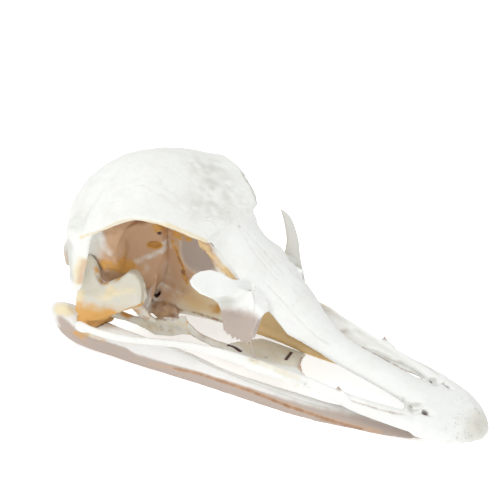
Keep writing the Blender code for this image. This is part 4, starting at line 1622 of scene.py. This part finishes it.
@dataclass(frozen=True)
class Studio:
    """Camera, floor and light.

    Attributes:
        ruler: Turns millimetres into the frame's metres.
        azimuth: Camera's turn from the animal's right side towards its bill, in degrees.
        elevation: Camera's height above the horizon, in degrees.
        distance: Camera's distance from its target, in millimetres.
        sensor: Width of the camera's sensor, in millimetres.
        focal: Focal length as a share of the picture's width.
        target: What the camera looks at.
        spread: Length of the floor's side, in metres.
        glow: The floor's own light, which keeps its shadows faint as in the photograph.
        surround: Strength of the light from all round.
    """

    ruler: Ruler
    azimuth: float = 32.2
    elevation: float = 30.64
    distance: float = 447.5
    sensor: float = 36.0
    focal: float = 1132.1 / 500
    target: Point = (94.5, 0.0, 52.2)
    spread: float = 8.0
    glow: float = 0.4
    surround: float = 0.72

    def camera(self) -> None:
        """Puts the camera at the photograph's angle."""
        turn = math.radians(self.azimuth)
        rise = math.radians(self.elevation)
        back = Vector((
            math.sin(turn) * math.cos(rise), -math.cos(turn) * math.cos(rise), math.sin(rise)
        ))
        bpy.ops.object.camera_add()
        camera = bpy.context.object
        camera.name = "camera"
        camera.data.sensor_width = self.sensor
        camera.data.lens = self.sensor * self.focal
        camera.data.clip_start = 0.01
        camera.location = self.ruler.place(self.target) + back * (self.distance / PER_METRE)
        camera.rotation_euler = back.to_track_quat("Z", "Y").to_euler()
        bpy.context.scene.camera = camera

    def floor(self) -> None:
        """A plain pale floor."""
        bpy.ops.mesh.primitive_plane_add(size=self.spread)
        floor = bpy.context.object
        floor.name = "floor"
        paper = bpy.data.materials.new("pale_floor")
        paper.use_nodes = True
        Graph(paper.node_tree).fill(paper.node_tree.nodes["Principled BSDF"], {
            "Base Color": (0.9, 0.9, 0.9), "Roughness": 0.9,
            "Emission Color": (1.0, 1.0, 1.0), "Emission Strength": self.glow,
        })
        floor.data.materials.append(paper)

    @staticmethod
    def lamp(name: str, place: Point, size: float, power: float) -> None:
        """A soft square lamp that shines at the middle of the skull.

        Args:
            name: The lamp's name.
            place: Where it hangs, in metres.
            size: Its side, in metres.
            power: Its power, in watts.
        """
        bpy.ops.object.light_add(type="AREA", location=place)
        lamp = bpy.context.object
        lamp.name = name
        lamp.data.size = size
        lamp.data.energy = power
        lamp.rotation_euler = Vector(place).to_track_quat("Z", "Y").to_euler()

    def light(self) -> None:
        """Soft light from above on both sides of the camera, and a pale surround."""
        world = bpy.data.worlds.new("surround")
        world.use_nodes = True
        Graph(world.node_tree).fill(world.node_tree.nodes["Background"], {
            "Color": (1.0, 1.0, 1.0), "Strength": self.surround,
        })
        bpy.context.scene.world = world
        bpy.context.scene.view_settings.view_transform = "Standard"
        self.lamp("key", (-0.4, -0.38, 1.0), 0.7, 4.7)
        self.lamp("fill", (0.6, -0.6, 0.8), 0.9, 3.4)


FINISHES = (
    BoneFinish("braincase_bone"),
    BoneFinish("bill_bone", clean=(0.78, 0.79, 0.765), mottle=0.35),
    BoneFinish("amber_bone", clean=(0.76, 0.72, 0.62)),
    # Darker clean colour for the quadrate: its own ivory tone, and painted shade for its place under the
    # brow.
    BoneFinish("joint_bone", clean=(0.55, 0.515, 0.415), grain=0.5),
    BoneFinish("palate_bone", clean=(0.76, 0.74, 0.67)),
    BoneFinish("jaw_bone", clean=(0.74, 0.735, 0.715)),
)
UPPER_NODES = {
    "cranium": "braincase_bone", "nasals": "bill_bone", "premaxilla": "bill_bone",
    **{f"{name}_{side.word}": "bill_bone" for name in ("maxilla", "jugal") for side in Side},
}
JAW_NODES = dict.fromkeys(("mandible_tip", "mandible_right", "mandible_left"), "jaw_bone")
PAIRED = (
    (Lacrimal, "lacrimal", "bill_bone"),
    (Quadrate, "quadrate", "joint_bone"),
    (Pterygoid, "pterygoid", "palate_bone"),
    (Palatine, "palatine", "palate_bone"),
)


def main() -> None:
    """Builds the skull and its setting."""
    logging.basicConfig(level=logging.INFO, format="%(name)s %(message)s")
    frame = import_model()
    bench = Workbench(Ruler.from_frame())
    finishes = {finish.name: finish.make() for finish in FINISHES}
    groups: list[Bone] = [
        UpperSkull(frame, bench, UPPER_NODES),
        Septum(frame, bench, {"orbital_septum": "amber_bone"}),
        LowerJaw(frame, bench, JAW_NODES),
    ]
    for side, (kind, name, slot) in product(Side, PAIRED):
        groups.append(kind(frame, bench, {f"{name}_{side.word}": slot}, side))
    for group in groups:
        group.build(finishes)
    studio = Studio(bench.ruler)
    studio.floor()
    studio.camera()
    studio.light()


if __name__ == "__main__":
    main()
